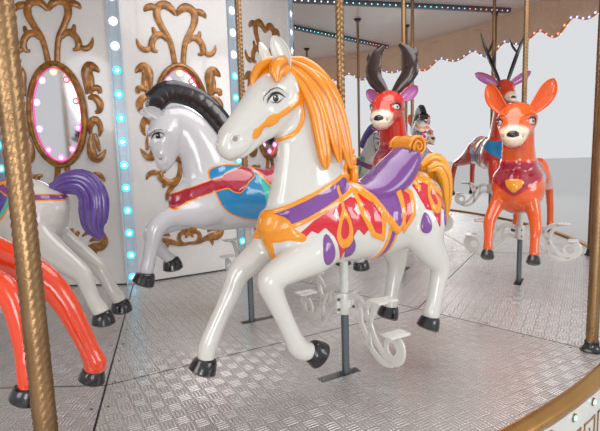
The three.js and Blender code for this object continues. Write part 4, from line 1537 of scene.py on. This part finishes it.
def riding_harness(points):
    """Marks of the inner horses: a long cloth with a lining, a breast strap, a saddle and a bridle."""
    flat = points[:, [0, 2]]
    cloth = area(flat, [(281, 916), (271, 956), (184, 980), (50, 970), (-150, 960), (-380, 1000),
                        (-430, 930), (-360, 800), (-240, 700), (-120, 645), (-15, 624), (121, 658),
                        (215, 717), (254, 794), (268, 860)], 3)
    lining = area(flat, [(-44, 900), (-50, 800), (-80, 670), (-200, 690), (-300, 760), (-370, 920),
                         (-200, 950)], 3)
    strap = union([
        band(flat, [(500, 770), (458, 787), (293, 845), (170, 872)], 36),
        area(flat, [(200, 910), (107, 940), (20, 955), (-20, 900), (40, 860), (105, 800), (180, 835)], 2),
        band(flat, [(-300, 950), (-420, 900), (-600, 880)], 18)])
    saddle = area(flat, [(30, 1020), (-80, 1060), (-340, 1100), (-340, 960), (-240, 920), (-200, 840),
                         (-120, 810), (-50, 880), (0, 950)], 3)
    bridle = union([
        band(flat, [(440, 1310), (448, 1210), (462, 1120), (475, 1040)], 11),
        band(flat, [(450, 1235), (510, 1225), (575, 1200)], 9),
        band(flat, [(420, 1055), (490, 1060), (580, 1075)], 9),
        spot(flat, (450, 1225), 20)])
    return {"cloth": (cloth, 0.006), "drops": (lining, 0.002), "strap": (strap, 0.007),
            "saddle": (saddle, 0.016), "trim": (bridle, 0.005)}


def forest_harness(points):
    """Marks of the deer kinds: a saddle cloth, a bib over the chest and a saddle."""
    flat = points[:, [0, 2]]
    cloth = area(flat, [(60, 960), (80, 840), (30, 720), (-80, 670), (-200, 680), (-290, 760), (-310, 900),
                        (-280, 980), (-100, 980)], 4)
    bib = area(flat, [(520, 910), (330, 920), (200, 950), (100, 940), (120, 900), (250, 860)], 3)
    front = points[:, [1, 2]]
    scarf = area(front, [(-200, 930), (200, 930), (160, 790), (0, 680), (-160, 790)])
    bib = np.maximum(bib, np.minimum(scarf, points[:, 0] - 0.24))
    shield = np.minimum(area(front, [(-58, 800), (0, 810), (58, 800), (45, 755), (0, 715),
                                     (-45, 755)]), points[:, 0] - 0.3)
    saddle = area(flat, [(20, 1000), (-220, 1040), (-240, 900), (-180, 830), (-90, 800), (-20, 860)], 3)
    girth = band(flat, [(-100, 700), (-100, 560)], 20)
    return {"cloth": (cloth, 0.006), "strap": (np.maximum(bib, girth), 0.007), "saddle": (saddle, 0.014),
            "trim": (shield, 0.004)}


def pale_parts(shape, points):
    """A soft mark for muzzle, throat, chest and belly, where a deer's coat turns cream."""
    if shape["horse"]:
        return np.zeros(len(points))
    flat = points[:, [0, 2]]
    nose_x, nose_z = shape["nostril"][:2]
    muzzle = near(flat, [(nose_x + 0.01, nose_z - 0.05), (nose_x + 0.01, nose_z + 0.02)], 0.05)
    muzzle += near(flat, [(nose_x - 0.10, nose_z - 0.04), (nose_x - 0.03, nose_z - 0.06)], 0.03)
    belly = np.clip((0.66 - points[:, 2]) / 0.06, 0, 1) * np.clip(1.5 - np.abs(points[:, 0]) / 0.22, 0, 1)
    return np.clip(muzzle * 1.6 + belly * 0.6, 0, 1)


def plain_harness(points):
    """The riding harness without its bridle."""
    return {name: mark for name, mark in riding_harness(points).items() if name != "trim"}


HARNESS = {"parade": parade_harness, "riding": riding_harness, "plain": plain_harness,
           "forest": forest_harness}


@cache
def painted(mould, grain, style):
    """The fused skin with its harness raised in low relief, and the marks that the paint reads."""
    skin = fused(mould, grain)
    points = skin.points.copy()
    marks = {"pale": pale_parts(MOULDS[mould], skin.points)}
    for name, (mark, relief) in HARNESS[style](skin.points).items():
        rise = np.clip(mark / 0.012 + 0.5, 0, 1)
        points += skin.normals * (relief * rise * rise * (3 - 2 * rise))[:, None]
        marks[name] = mark
    return Skin(points, skin.faces, skin.normals), marks


COAT, HAIR, HOOF, EYE_WHITE, EYE_BLACK, TRIM, EAR, HORN, SEAT, TAIL, LIP = range(11)
HOOF_LENGTH = 0.066


def add_hooves(work, shape):
    """Black hooves: from the end of each leg a foot section goes on along the leg, widens to the flat
    sole, and leans forward so that its front slopes."""
    part = np.array((-0.12, 0.0, 0.08, 0.5, 0.85, 1.0))
    wide = np.array((0.03, 0.041, 0.046, 0.053, 0.056, 0.045)) * shape["slim"]
    for stations in shape["legs"]:
        end = np.array(stations[-1][:3])
        along = unit(end - np.array(stations[-3][:3]))
        if along[2] < -0.5:
            along = unit(along + (0.0, 0.0, -0.8))
        forward = np.array((-along[2], 0.0, along[0])) * (1 if along[2] < -0.3 else -1)
        path = end + along * HOOF_LENGTH * shape["slim"] * part[:, None]
        path += forward * (0.016 * np.clip(part, 0, 1) ** 1.3)[:, None]
        work.patch(sweep(path, ring(20), SIDEWAYS, np.stack((wide, wide * 1.12), 1)), HOOF)


def set_on(work, grid, place, normal, lift, slot):
    """Adds a small turned form on the skin, lifted off it along the normal."""
    work.copies(Piece().patch(grid), facing(place + normal * lift, normal), slot)


def add_eyes(work, skin, shape):
    """An almond eye on both sides: a white ball, a large iris disc, a thick black upper lid, a thin
    lower one, a long brow and a painted highlight on the iris."""
    eye_x, eye_z, size = shape["eye"]
    tilt = -0.35 if shape["horse"] else 0.4
    lid = [(-1.25, -0.35), (-0.6, 0.5), (0.15, 0.72), (0.85, 0.35), (1.35, -0.3)]
    under = [(-1.05, -0.25), (-0.1, -0.62), (0.95, -0.2)]
    brow = [(-1.5, 0.05), (-0.7, 1.0), (0.4, 1.15), (1.3, 0.65), (1.7, 0.1)]
    for side in (-1, 1):
        place, normal = skin.lay([(eye_x, eye_z)], side)
        angle = np.radians((90, 60, 30))
        ball = np.stack((size * np.sin(angle), size * 0.42 * np.cos(angle)), 1)
        white = lathe(ball, 24)
        white[..., 1] *= 0.66
        set_on(work, white, place, normal, -0.002, EYE_WHITE)
        set_on(work, lathe(ball * (shape["iris"], 1.0), 20), place, normal, 0.0022, EYE_BLACK)
        # Painted highlight: a small white disc on the iris.
        painted_highlight = place + np.array((size * 0.16, 0, size * 0.2))
        set_on(work, lathe(ball * (0.14, 0.35), 8), painted_highlight, normal, size * 0.40, EYE_WHITE)
        for line, thick in ((lid, 0.19), (under, 0.06), (brow, 0.07)):
            turned = [(eye_x + size * (across * cos(tilt) - up * sin(tilt)),
                       eye_z + size * (across * sin(tilt) + up * cos(tilt))) for across, up in line]
            path, normals = skin.lay(curve(turned, 5), side, 0.002)
            path += normals * 0.003
            ends = np.sin(np.linspace(0.12, pi - 0.12, len(path)))
            work.patch(sweep(path, ring(8) * (0.5, 1.0), normals, thick * size * ends), EYE_BLACK)


def add_face(work, skin, shape):
    """Nostrils: a raised ring round a shallow pit on a horse, with a disc of painted shade in the pit,
    and a dark pit on a deer.
    """
    nose_x, nose_z, size = shape["nostril"]
    for side in (-1, 1):
        place, normal = skin.lay([(nose_x, nose_z)], side)
        if shape["horse"]:
            lip = ring(8, size * 0.28, size * 0.36) + (size * 0.9, 0.0)
            work.copies(Piece().loop(lathe(lip, 20)), facing(place, normal), COAT)
        # On a horse this disc is painted shade in the nostril's pit; on a deer it is the black nostril.
        pit = lathe([(size * 0.68, 0.0), (size * 0.5, 0.0012)], 16)
        set_on(work, pit, place, normal, 0.0025, LIP if shape["horse"] else EYE_BLACK)
    if not shape["horse"]:
        nose_x, nose_z, size = shape["nose"]
        swing = np.radians(np.linspace(12, 168, 9))
        button = lathe(np.stack((np.sin(swing), -np.cos(swing)), 1), 20)
        work.patch(button * size * (0.75, 1.15, 0.8) + (nose_x, 0, nose_z), EYE_BLACK)
        chin_x, chin_z = shape["mouth"][-1]
        smile = curve([(chin_x - 0.03, -0.062, chin_z + 0.014), (chin_x + 0.004, -0.03, chin_z + 0.003),
                       (chin_x + 0.01, 0.0, chin_z), (chin_x + 0.004, 0.03, chin_z + 0.003),
                       (chin_x - 0.03, 0.062, chin_z + 0.014)], 5)
        work.patch(sweep(smile, ring(8), UPWARD, 0.0055), LIP)


def add_lock(work, points, slot=HAIR, grooves=4, count=28, depth=0.26, across=SIDEWAYS):
    """A lock of hair: points of place and half width on a smooth line. Its section is an ellipse,
    flattened in the across direction, with grooves cut in by the absolute sine of the angle. Its groove
    mark carries painted shade into the grooves."""
    line = curve(points, 4)
    angle = full_turn(count)
    groove = np.abs(np.sin(angle * grooves / 2)) ** 0.6
    wave = 1.06 - depth + depth * groove
    section = np.stack((np.cos(angle) * wave * 0.62, np.sin(angle) * wave), 1)
    taper = np.sin(np.linspace(0.35, pi - 0.3, len(line))) ** 0.5
    grid = sweep(line[:, :3], section, across, np.repeat((line[:, 3] * taper)[:, None], 2, 1))
    # Painted shade: the groove mark makes the hair paint darker down in the grooves.
    painted_groove_shade = np.broadcast_to(groove, grid.shape[:2])
    painted_groove_shade = np.vstack((painted_groove_shade[:1], painted_groove_shade, painted_groove_shade[-1:]))
    work.patch(grid, slot)
    work.marks[-1] = {"groove": painted_groove_shade.ravel()}


def add_ears(work, shape):
    """Cupped leaf ears: a crescent section that swells and closes towards the tip."""
    for base, middle, tip, half in shape["ears"]:
        for side in (-1, 1):
            path = curve([(x, y * side, z) for x, y, z in (base, middle, tip)], 8)
            part = np.linspace(0, 1, len(path))
            swell = half * (0.45 + 2.3 * part) * np.clip(1 - part, 0.004, 1) ** 0.62
            turn = np.linspace(0, pi, 11)
            back = np.stack((np.cos(turn), -0.55 * np.sin(turn)), 1)
            hollow = np.stack((0.86 * np.cos(turn[::-1]), 0.02 - 0.32 * np.sin(turn[::-1])), 1)
            section = np.vstack((back, hollow))
            slots = np.where(np.arange(len(section)) > len(back) - 1, EAR, COAT)
            front = (0.5, 0.85 * side, 0.0) if shape["horse"] else (1.0, 0.25 * side, -0.15)
            across = np.cross(unit(path[-1] - path[0]), np.array(front))
            work.patch(sweep(path, section * (1, -side), across * side, swell), slots)


HERO_LOCKS = mm([
    [(285, 0, 1475, 30), (200, 0, 1460, 50), (120, 10, 1390, 58), (60, 15, 1290, 58), (35, 20, 1180, 52),
     (0, 20, 1080, 44), (-35, 10, 985, 20)],
    [(285, 30, 1465, 28), (225, 60, 1420, 40), (155, 82, 1330, 43), (120, 92, 1220, 40),
     (100, 100, 1120, 36), (88, 108, 1040, 20)],
    [(290, 50, 1435, 26), (238, 75, 1370, 34), (195, 90, 1270, 37), (175, 100, 1150, 36),
     (165, 110, 1060, 34), (162, 114, 1010, 18)],
    [(240, 30, 1455, 28), (150, 60, 1385, 42), (85, 70, 1280, 44), (55, 80, 1180, 40), (35, 90, 1080, 34),
     (20, 100, 1010, 16)],
])
HERO_FORELOCK = mm([
    [(270, 0, 1465, 30), (335, 0, 1462, 38), (395, 5, 1432, 38), (432, 10, 1388, 30), (448, 12, 1345, 14)],
    [(275, 30, 1460, 34), (320, 55, 1450, 42), (365, 75, 1420, 40), (370, 88, 1375, 20)],
])
HERO_TAIL = mm([
    [(-500, 0, 990, 34), (-570, 0, 1025, 46), (-635, 0, 985, 52), (-662, 0, 880, 52), (-665, 0, 770, 40),
     (-655, 0, 665, 14)],
    [(-510, 35, 980, 26), (-580, 40, 990, 34), (-630, 42, 920, 36), (-648, 35, 810, 30),
     (-655, 30, 710, 12)],
])
FLYING_TAIL = mm([(-530, 0, 915, 50), (-620, 0, 955, 70), (-710, 0, 950, 76), (-755, 0, 880, 78),
                  (-750, 0, 790, 82), (-748, 0, 710, 72), (-785, 0, 645, 26)])
DEER_TAIL = mm([[(-460, 0, 870, 30), (-520, 0, 900, 38), (-575, 0, 915, 30), (-610, 0, 900, 12)],])


def both_sides(locks):
    """The locks with their mirror images, once for those on the middle line."""
    found = list(locks)
    for points in locks:
        if max(abs(point[1]) for point in points) > 0.025:
            found.append([(x, -y, z, half) for x, y, z, half in points])
    return found


def clipped_mane(work):
    """A clipped upright mane: a thick ridge along the crest of the neck with cross ribs, and a roll
    across its end at the poll."""
    line = curve([(0.54, 1.335), (0.478, 1.388), (0.41, 1.398), (0.31, 1.372), (0.228, 1.318),
                  (0.16, 1.248), (0.105, 1.165), (0.085, 1.09)], 12)
    path = np.stack((line[:, 0], 0 * line[:, 0], line[:, 1]), 1)
    part = np.linspace(0, 1, len(path))
    rib = np.abs(np.sin(part * pi * 12)) ** 0.4
    size = np.stack((0.033 + 0.001 * rib, 0.064 + 0.0004 * rib), 1)
    size[-8:] *= np.linspace(1, 0.5, 8)[:, None]
    work.patch(sweep(path, ring(16, power=0.7), SIDEWAYS, size), HAIR)
    # Painted shade: the groove mark darkens the paint between the cross ribs.
    ribs = np.concatenate((rib[:1], rib, rib[-1:]))
    work.marks[-1] = {"groove": np.repeat(ribs, 16)}
    roll = np.array(((0.545, -0.045, 1.325), (0.545, 0.0, 1.328), (0.545, 0.045, 1.325)))
    work.patch(sweep(curve(roll, 4), ring(14), UPWARD, 0.032), HAIR)


SADDLE_SEAT = mm([(-35, 0, 905, 90, 45), (-100, 0, 885, 118, 60), (-180, 0, 890, 132, 75),
                  (-260, 0, 925, 132, 85), (-330, 0, 980, 122, 85), (-385, 0, 1045, 108, 62)])
CANTLE = (-0.405, 1.098)
CANTLE_RADIUS = 0.05


def add_saddle(work):
    """A deep saddle: a padded seat, a roll across the cantle whose ends are spirals, and a narrow
    stepped pommel. A spiral's radius shrinks evenly with its angle."""
    work.patch(limb(SADDLE_SEAT, count=32), SEAT)
    middle = np.linspace(-0.066, 0.066, 9)
    path = np.stack((np.full(9, CANTLE[0]), middle, np.full(9, CANTLE[1]) + 0.006 * np.cos(middle * 12)), 1)
    work.patch(sweep(path, ring(20), UPWARD, CANTLE_RADIUS), TRIM)
    turn = np.linspace(0, 4.2 * pi, 60)
    reach = CANTLE_RADIUS * (1.08 - 0.95 * turn / turn[-1])
    for side in (-1, 1):
        spiral = np.stack((CANTLE[0] + reach * np.cos(turn), side * (0.072 + turn * 0.0006),
                           CANTLE[1] + reach * np.sin(turn)), 1)
        work.patch(sweep(spiral, ring(8), SIDEWAYS, 0.0085 - 0.004 * (turn / turn[-1])[:, None]), TRIM)
    for wide, low, high in ((0.062, 0.94, 1.02), (0.048, 1.02, 1.07), (0.034, 1.07, 1.1)):
        work.patch(bar((-0.034, 0, low), (-0.034, 0, high), SIDEWAYS, wide, 0.019, 0.2, 20, 0.006), TRIM)


def build_figure(row, number, suit, grain):
    """One carved figure: skin, hooves, eyes, ears, hair or antlers and saddle, set on its seat."""
    skin, marks = painted(suit["mould"], grain, suit["style"])
    shape = MOULDS[suit["mould"]]
    work = Piece()
    work.add(skin.points, skin.faces, COAT, marks)
    add_hooves(work, shape)
    add_eyes(work, skin, shape)
    add_face(work, skin, shape)
    add_ears(work, shape)
    if suit["mould"] == "charger":
        for points in both_sides(HERO_LOCKS) + both_sides(HERO_FORELOCK):
            add_lock(work, points)
        for points in both_sides(HERO_TAIL):
            add_lock(work, points, TAIL)
        add_saddle(work)
    elif shape["horse"]:
        clipped_mane(work)
        add_lock(work, FLYING_TAIL, TAIL, 14, 56, 0.09)
    else:
        for points in DEER_TAIL:
            add_lock(work, points, COAT)
        for points in both_sides(shape.get("antlers", [])):
            add_lock(work, points, HORN, 3, 14, across=OUTWARD)
    matrix = seat_matrix(row, number)
    work.points = [points @ matrix[:3, :3].T + matrix[:3, 3] for points in work.points]
    node = f"{row}_{suit['kind']}_{number:02d}"
    work.object(f"{node}_figure", suit["finishes"], suit["slot"], [node], f"{row}_seat_{number:02d}", 50)


@cache
def hair_paint(name):
    """Gloss paint over carved hair, with painted shade: darker down in its grooves."""
    finish = Finish(f"hair_{name}", {"Coat Weight": 0.7, "Coat Roughness": 0.08})
    # Painted shade: down in the grooves the colour turns to a darker, deeper share of itself.
    groove = finish.rise(finish.mark("groove"), 0.1, 0.75)
    finish.feed("Base Color", finish.blend(groove, shade(name, (0.72, 0.5, 0.4)), shade(name)))
    gloss(finish, 0.2, 0.12, 14.0)
    finish.emboss(finish.speckle(40.0), 0.001)
    return finish.material


def figure_finishes(name, base, second, layers, hair, tail, harness, ear, horn="antler", lip="crimson",
                    dots=None):
    """The finishes of a figure in the order of its slots."""
    painted_parts = [plain(tint) for tint in ("black", "panel", "black", harness, ear, horn, "purple")]
    return [coat_of_paint(name, base, second, layers, dots), hair_paint(hair), *painted_parts,
            hair_paint(tail), plain(lip)]


# What each mark is painted with: its colour, or its colour, its edging and the edging's width in metres

PARADE_LAYERS = {"cloth": ["red"], "drops": ["purple"], "panels": ["red", "orange", 0.025],
                 "strap": ["purple", "orange", 0.018], "saddle": ["purple", "orange", 0.03],
                 "trim": ["orange"]}
RIDING_LAYERS = {"cloth": ["blue", "orange", 0.009], "drops": ["turquoise"],
                 "strap": ["crimson", "orange", 0.006], "saddle": ["crimson", "orange", 0.008]}
SPOTTED_LAYERS = {"cloth": ["blue"], "drops": ["turquoise"], "strap": ["crimson", "blue", 0.008],
                  "saddle": ["orange", "blue", 0.01], "trim": ["orange"]}
WHITE_LAYERS = {"cloth": ["turquoise", "orange", 0.009], "drops": ["violet"],
                "strap": ["purple", "orange", 0.006], "saddle": ["purple", "orange", 0.01],
                "trim": ["purple"]}
FOREST_LAYERS = {"cloth": ["blue", "yellow", 0.01], "strap": ["crimson", "red", 0.012],
                 "saddle": ["crimson", "yellow", 0.008], "trim": ["orange"]}
STAG_LAYERS = {"cloth": ["blue", "yellow", 0.012], "strap": ["blue"],
               "saddle": ["orange", "yellow", 0.008]}


def suit(kind, mould, style, slot, *finishes, **more):
    return {"kind": kind, "mould": mould, "style": style, "slot": slot,
            "finishes": figure_finishes(*finishes, **more)}


@cache
def wardrobe():
    """The four suits of each row, which repeat round the floor."""
    return {
        # A horse's lip slot takes the pit colour: painted shade in its nostrils.
        "outer": [
            suit("horse", "charger", "parade", "white_paint", "parade_horse", "white", "white",
                 PARADE_LAYERS, "mane", "tail", "orange", "white", lip="pit"),
            suit("fawn", "deer", "forest", "orange_paint", "fawn", "deer_orange", "cream",
                 FOREST_LAYERS, "deer_orange", "deer_orange", "crimson", "deer_orange"),
            suit("stag", "stag", "forest", "coral_paint", "stag", "deer_brown", "cream",
                 STAG_LAYERS, "deer_brown", "deer_brown", "orange", "pink", horn="black"),
            suit("deer", "roe", "forest", "coral_paint", "deer", "deer_red", "cream",
                 FOREST_LAYERS, "deer_red", "deer_red", "crimson", "deer_red")],
        "inner": [
            suit("horse", "prancer", "plain", "grey_paint", "grey_horse", "grey_white", "white",
                 RIDING_LAYERS, "night", "night", "crimson", "grey_white", lip="pit"),
            suit("reindeer", "reindeer", "forest", "red_paint", "reindeer", "reindeer", "cream",
                 FOREST_LAYERS, "reindeer", "reindeer", "crimson", "pink"),
            suit("horse", "prancer", "riding", "white_paint", "spotted_horse", "white", "white",
                 SPOTTED_LAYERS, "night", "night", "orange", "white", lip="pit", dots="magenta"),
            suit("horse", "prancer", "riding", "white_paint", "white_horse", "white", "white",
                 WHITE_LAYERS, "violet", "violet", "purple", "white", lip="pit")],
    }


NEAR_SEATS = {("inner", 1), ("outer", 2), ("inner", 2), ("outer", 3), ("inner", 3), ("outer", 12),
              ("inner", 12)}


def build_figures(row):
    suits = wardrobe()[row]
    for number in range(1, SECTORS + 1):
        grain = sizes().near_grain if (row, number) in NEAR_SEATS else sizes().far_grain
        if (row, number) == ("outer", 1):
            grain = sizes().front_grain
        build_figure(row, number, suits[(number - 1) % len(suits)], round(grain, 4))


# Stage

FLOOR_HALF = 40.0
# Each lamp's name, place and target, then its width in metres and its power in watts
LAMPS = [("key_lamp", (-1.5, -9.0, 3.0), (1.6, -3.6, 1.2), 3.0, 100),
         ("rising_lamp", (2.4, -8.8, 1.0), (2.6, -2.0, 3.4), 1.8, 60),
         ("right_lamp", (8.5, -6.5, 3.0), (3.0, -2.0, 1.2), 3.0, 120),
         ("back_lamp", (5.0, 9.5, 3.2), (2.0, 0.5, 1.2), 4.5, 110),
         ("left_lamp", (-9.5, 1.0, 3.0), (-1.0, -1.0, 1.2), 3.5, 110),
         ("canopy_lamp", (2.6, -3.0, 3.25), (2.4, -2.8, 0.4), 2.4, 45)]


def build_stage():
    """A pale floor, even sky light, soft lamps outside the bays, and the lens."""
    floor = Finish("studio_floor", {"Roughness": 0.6})
    tone = floor.speckle(0.5)
    floor.feed("Base Color", floor.blend(tone, (0.62, 0.61, 0.60, 1), (0.66, 0.65, 0.64, 1)))
    line = np.linspace(-FLOOR_HALF, FLOOR_HALF, 9)
    across, along = np.meshgrid(line, line)
    grid = np.stack((along, across, np.full_like(across, -0.002)), -1)
    sheet = Piece().patch(grid, wrap=False, close=False)
    mesh = bpy.data.meshes.new("studio_floor")
    mesh.from_pydata(sheet.points[0].tolist(), [], sheet.faces[0].tolist())
    mesh.materials.append(floor.material)
    ground = bpy.data.objects.new("studio_floor", mesh)
    enter(ground)
    sky = bpy.data.worlds.new("studio_sky")
    sky.use_nodes = True
    light = sky.node_tree.nodes["Background"].inputs
    light["Color"].default_value = (0.84, 0.86, 0.88, 1)
    light["Strength"].default_value = 0.85
    bpy.context.scene.world = sky
    bpy.context.scene.view_settings.view_transform = "Standard"
    for lamp in LAMPS:
        add_lamp(*lamp)
    eye = bpy.data.cameras.new("lens")
    eye.lens = CAMERA_LENS
    camera = bpy.data.objects.new("lens", eye)
    turned = Matrix.Rotation(CAMERA_YAW, 4, "Z") @ Matrix.Rotation(pi / 2 - CAMERA_PITCH, 4, "X")
    camera.matrix_world = (Matrix.Translation(CAMERA_PLACE) @ turned @ Matrix.Rotation(CAMERA_ROLL, 4, "Z"))
    enter(camera)
    bpy.context.scene.camera = camera


def add_lamp(name, place, target, size, power):
    light = bpy.data.lights.new(name, "AREA")
    light.shape = "DISK"
    light.size = size
    light.energy = power
    lamp = bpy.data.objects.new(name, light)
    lamp.location = place
    lamp.rotation_euler = (Vector(target) - Vector(place)).to_track_quat("-Z", "Y").to_euler()
    enter(lamp)


# Operators

class CAROUSEL_OT_stage(bpy.types.Operator):
    """Set the pale floor, the lamps and the lens"""

    bl_idname = "carousel.stage"
    bl_label = "Stage"

    def execute(self, context):
        build_stage()
        return {"FINISHED"}


class CAROUSEL_OT_base(bpy.types.Operator):
    """Paint the ground frame, the centre column and the floor joists"""

    bl_idname = "carousel.base"
    bl_label = "Base"

    def execute(self, context):
        build_base()
        return {"FINISHED"}


class CAROUSEL_OT_floor(bpy.types.Operator):
    """Finish the tread-plate floor, its nosing and the painted skirt"""

    bl_idname = "carousel.floor"
    bl_label = "Floor"

    def execute(self, context):
        build_floor()
        return {"FINISHED"}


class CAROUSEL_OT_core(bpy.types.Operator):
    """Build the centre panels with their carved frames, mirrors and lights"""

    bl_idname = "carousel.core"
    bl_label = "Centre"

    def execute(self, context):
        build_core()
        return {"FINISHED"}


class CAROUSEL_OT_posts(bpy.types.Operator):
    """Build the twisted posts and the lit ribs"""

    bl_idname = "carousel.posts"
    bl_label = "Posts"

    def execute(self, context):
        build_posts()
        return {"FINISHED"}


class CAROUSEL_OT_ceiling(bpy.types.Operator):
    """Finish the ceiling and build the rounding boards"""

    bl_idname = "carousel.ceiling"
    bl_label = "Ceiling"

    def execute(self, context):
        build_ceiling()
        build_valance()
        return {"FINISHED"}


class CAROUSEL_OT_roof(bpy.types.Operator):
    """Build the roof cover and the crown"""

    bl_idname = "carousel.roof"
    bl_label = "Roof"

    def execute(self, context):
        build_roof()
        return {"FINISHED"}


class CAROUSEL_OT_poles(bpy.types.Operator):
    """Build the twisted poles with their footrests"""

    bl_idname = "carousel.poles"
    bl_label = "Poles"

    def execute(self, context):
        build_poles()
        return {"FINISHED"}


class CAROUSEL_OT_outer_figures(bpy.types.Operator):
    """Build the outer row of carved figures"""

    bl_idname = "carousel.outer_figures"
    bl_label = "Outer Figures"

    def execute(self, context):
        build_figures("outer")
        return {"FINISHED"}


class CAROUSEL_OT_inner_figures(bpy.types.Operator):
    """Build the inner row of carved figures"""

    bl_idname = "carousel.inner_figures"
    bl_label = "Inner Figures"

    def execute(self, context):
        build_figures("inner")
        return {"FINISHED"}


OPERATORS = (CAROUSEL_OT_stage, CAROUSEL_OT_base, CAROUSEL_OT_floor, CAROUSEL_OT_core,
             CAROUSEL_OT_posts, CAROUSEL_OT_ceiling, CAROUSEL_OT_roof, CAROUSEL_OT_poles,
             CAROUSEL_OT_outer_figures, CAROUSEL_OT_inner_figures)


class CAROUSEL_PT_panel(bpy.types.Panel):
    """The carousel's pieces, sizes and colours"""

    bl_idname = "CAROUSEL_PT_panel"
    bl_label = "Carousel"
    bl_space_type = "VIEW_3D"
    bl_region_type = "UI"
    bl_category = "Carousel"

    def draw(self, context):
        for operator in OPERATORS:
            self.layout.operator(operator.bl_idname)
        for group in (context.scene.carousel_sizes, context.scene.carousel_colours):
            for name in group.__annotations__:
                self.layout.prop(group, name)


CLASSES = (CarouselColours, CarouselSizes, *OPERATORS, CAROUSEL_PT_panel)


def register():
    for entry in CLASSES:
        bpy.utils.register_class(entry)
    bpy.types.Scene.carousel_colours = PointerProperty(type=CarouselColours)
    bpy.types.Scene.carousel_sizes = PointerProperty(type=CarouselSizes)


def unregister():
    del bpy.types.Scene.carousel_sizes
    del bpy.types.Scene.carousel_colours
    for entry in reversed(CLASSES):
        bpy.utils.unregister_class(entry)


def main():
    register()
    for operator in OPERATORS:
        group, name = operator.bl_idname.split(".")
        getattr(getattr(bpy.ops, group), name)()


if __name__ == "__main__":
    main()
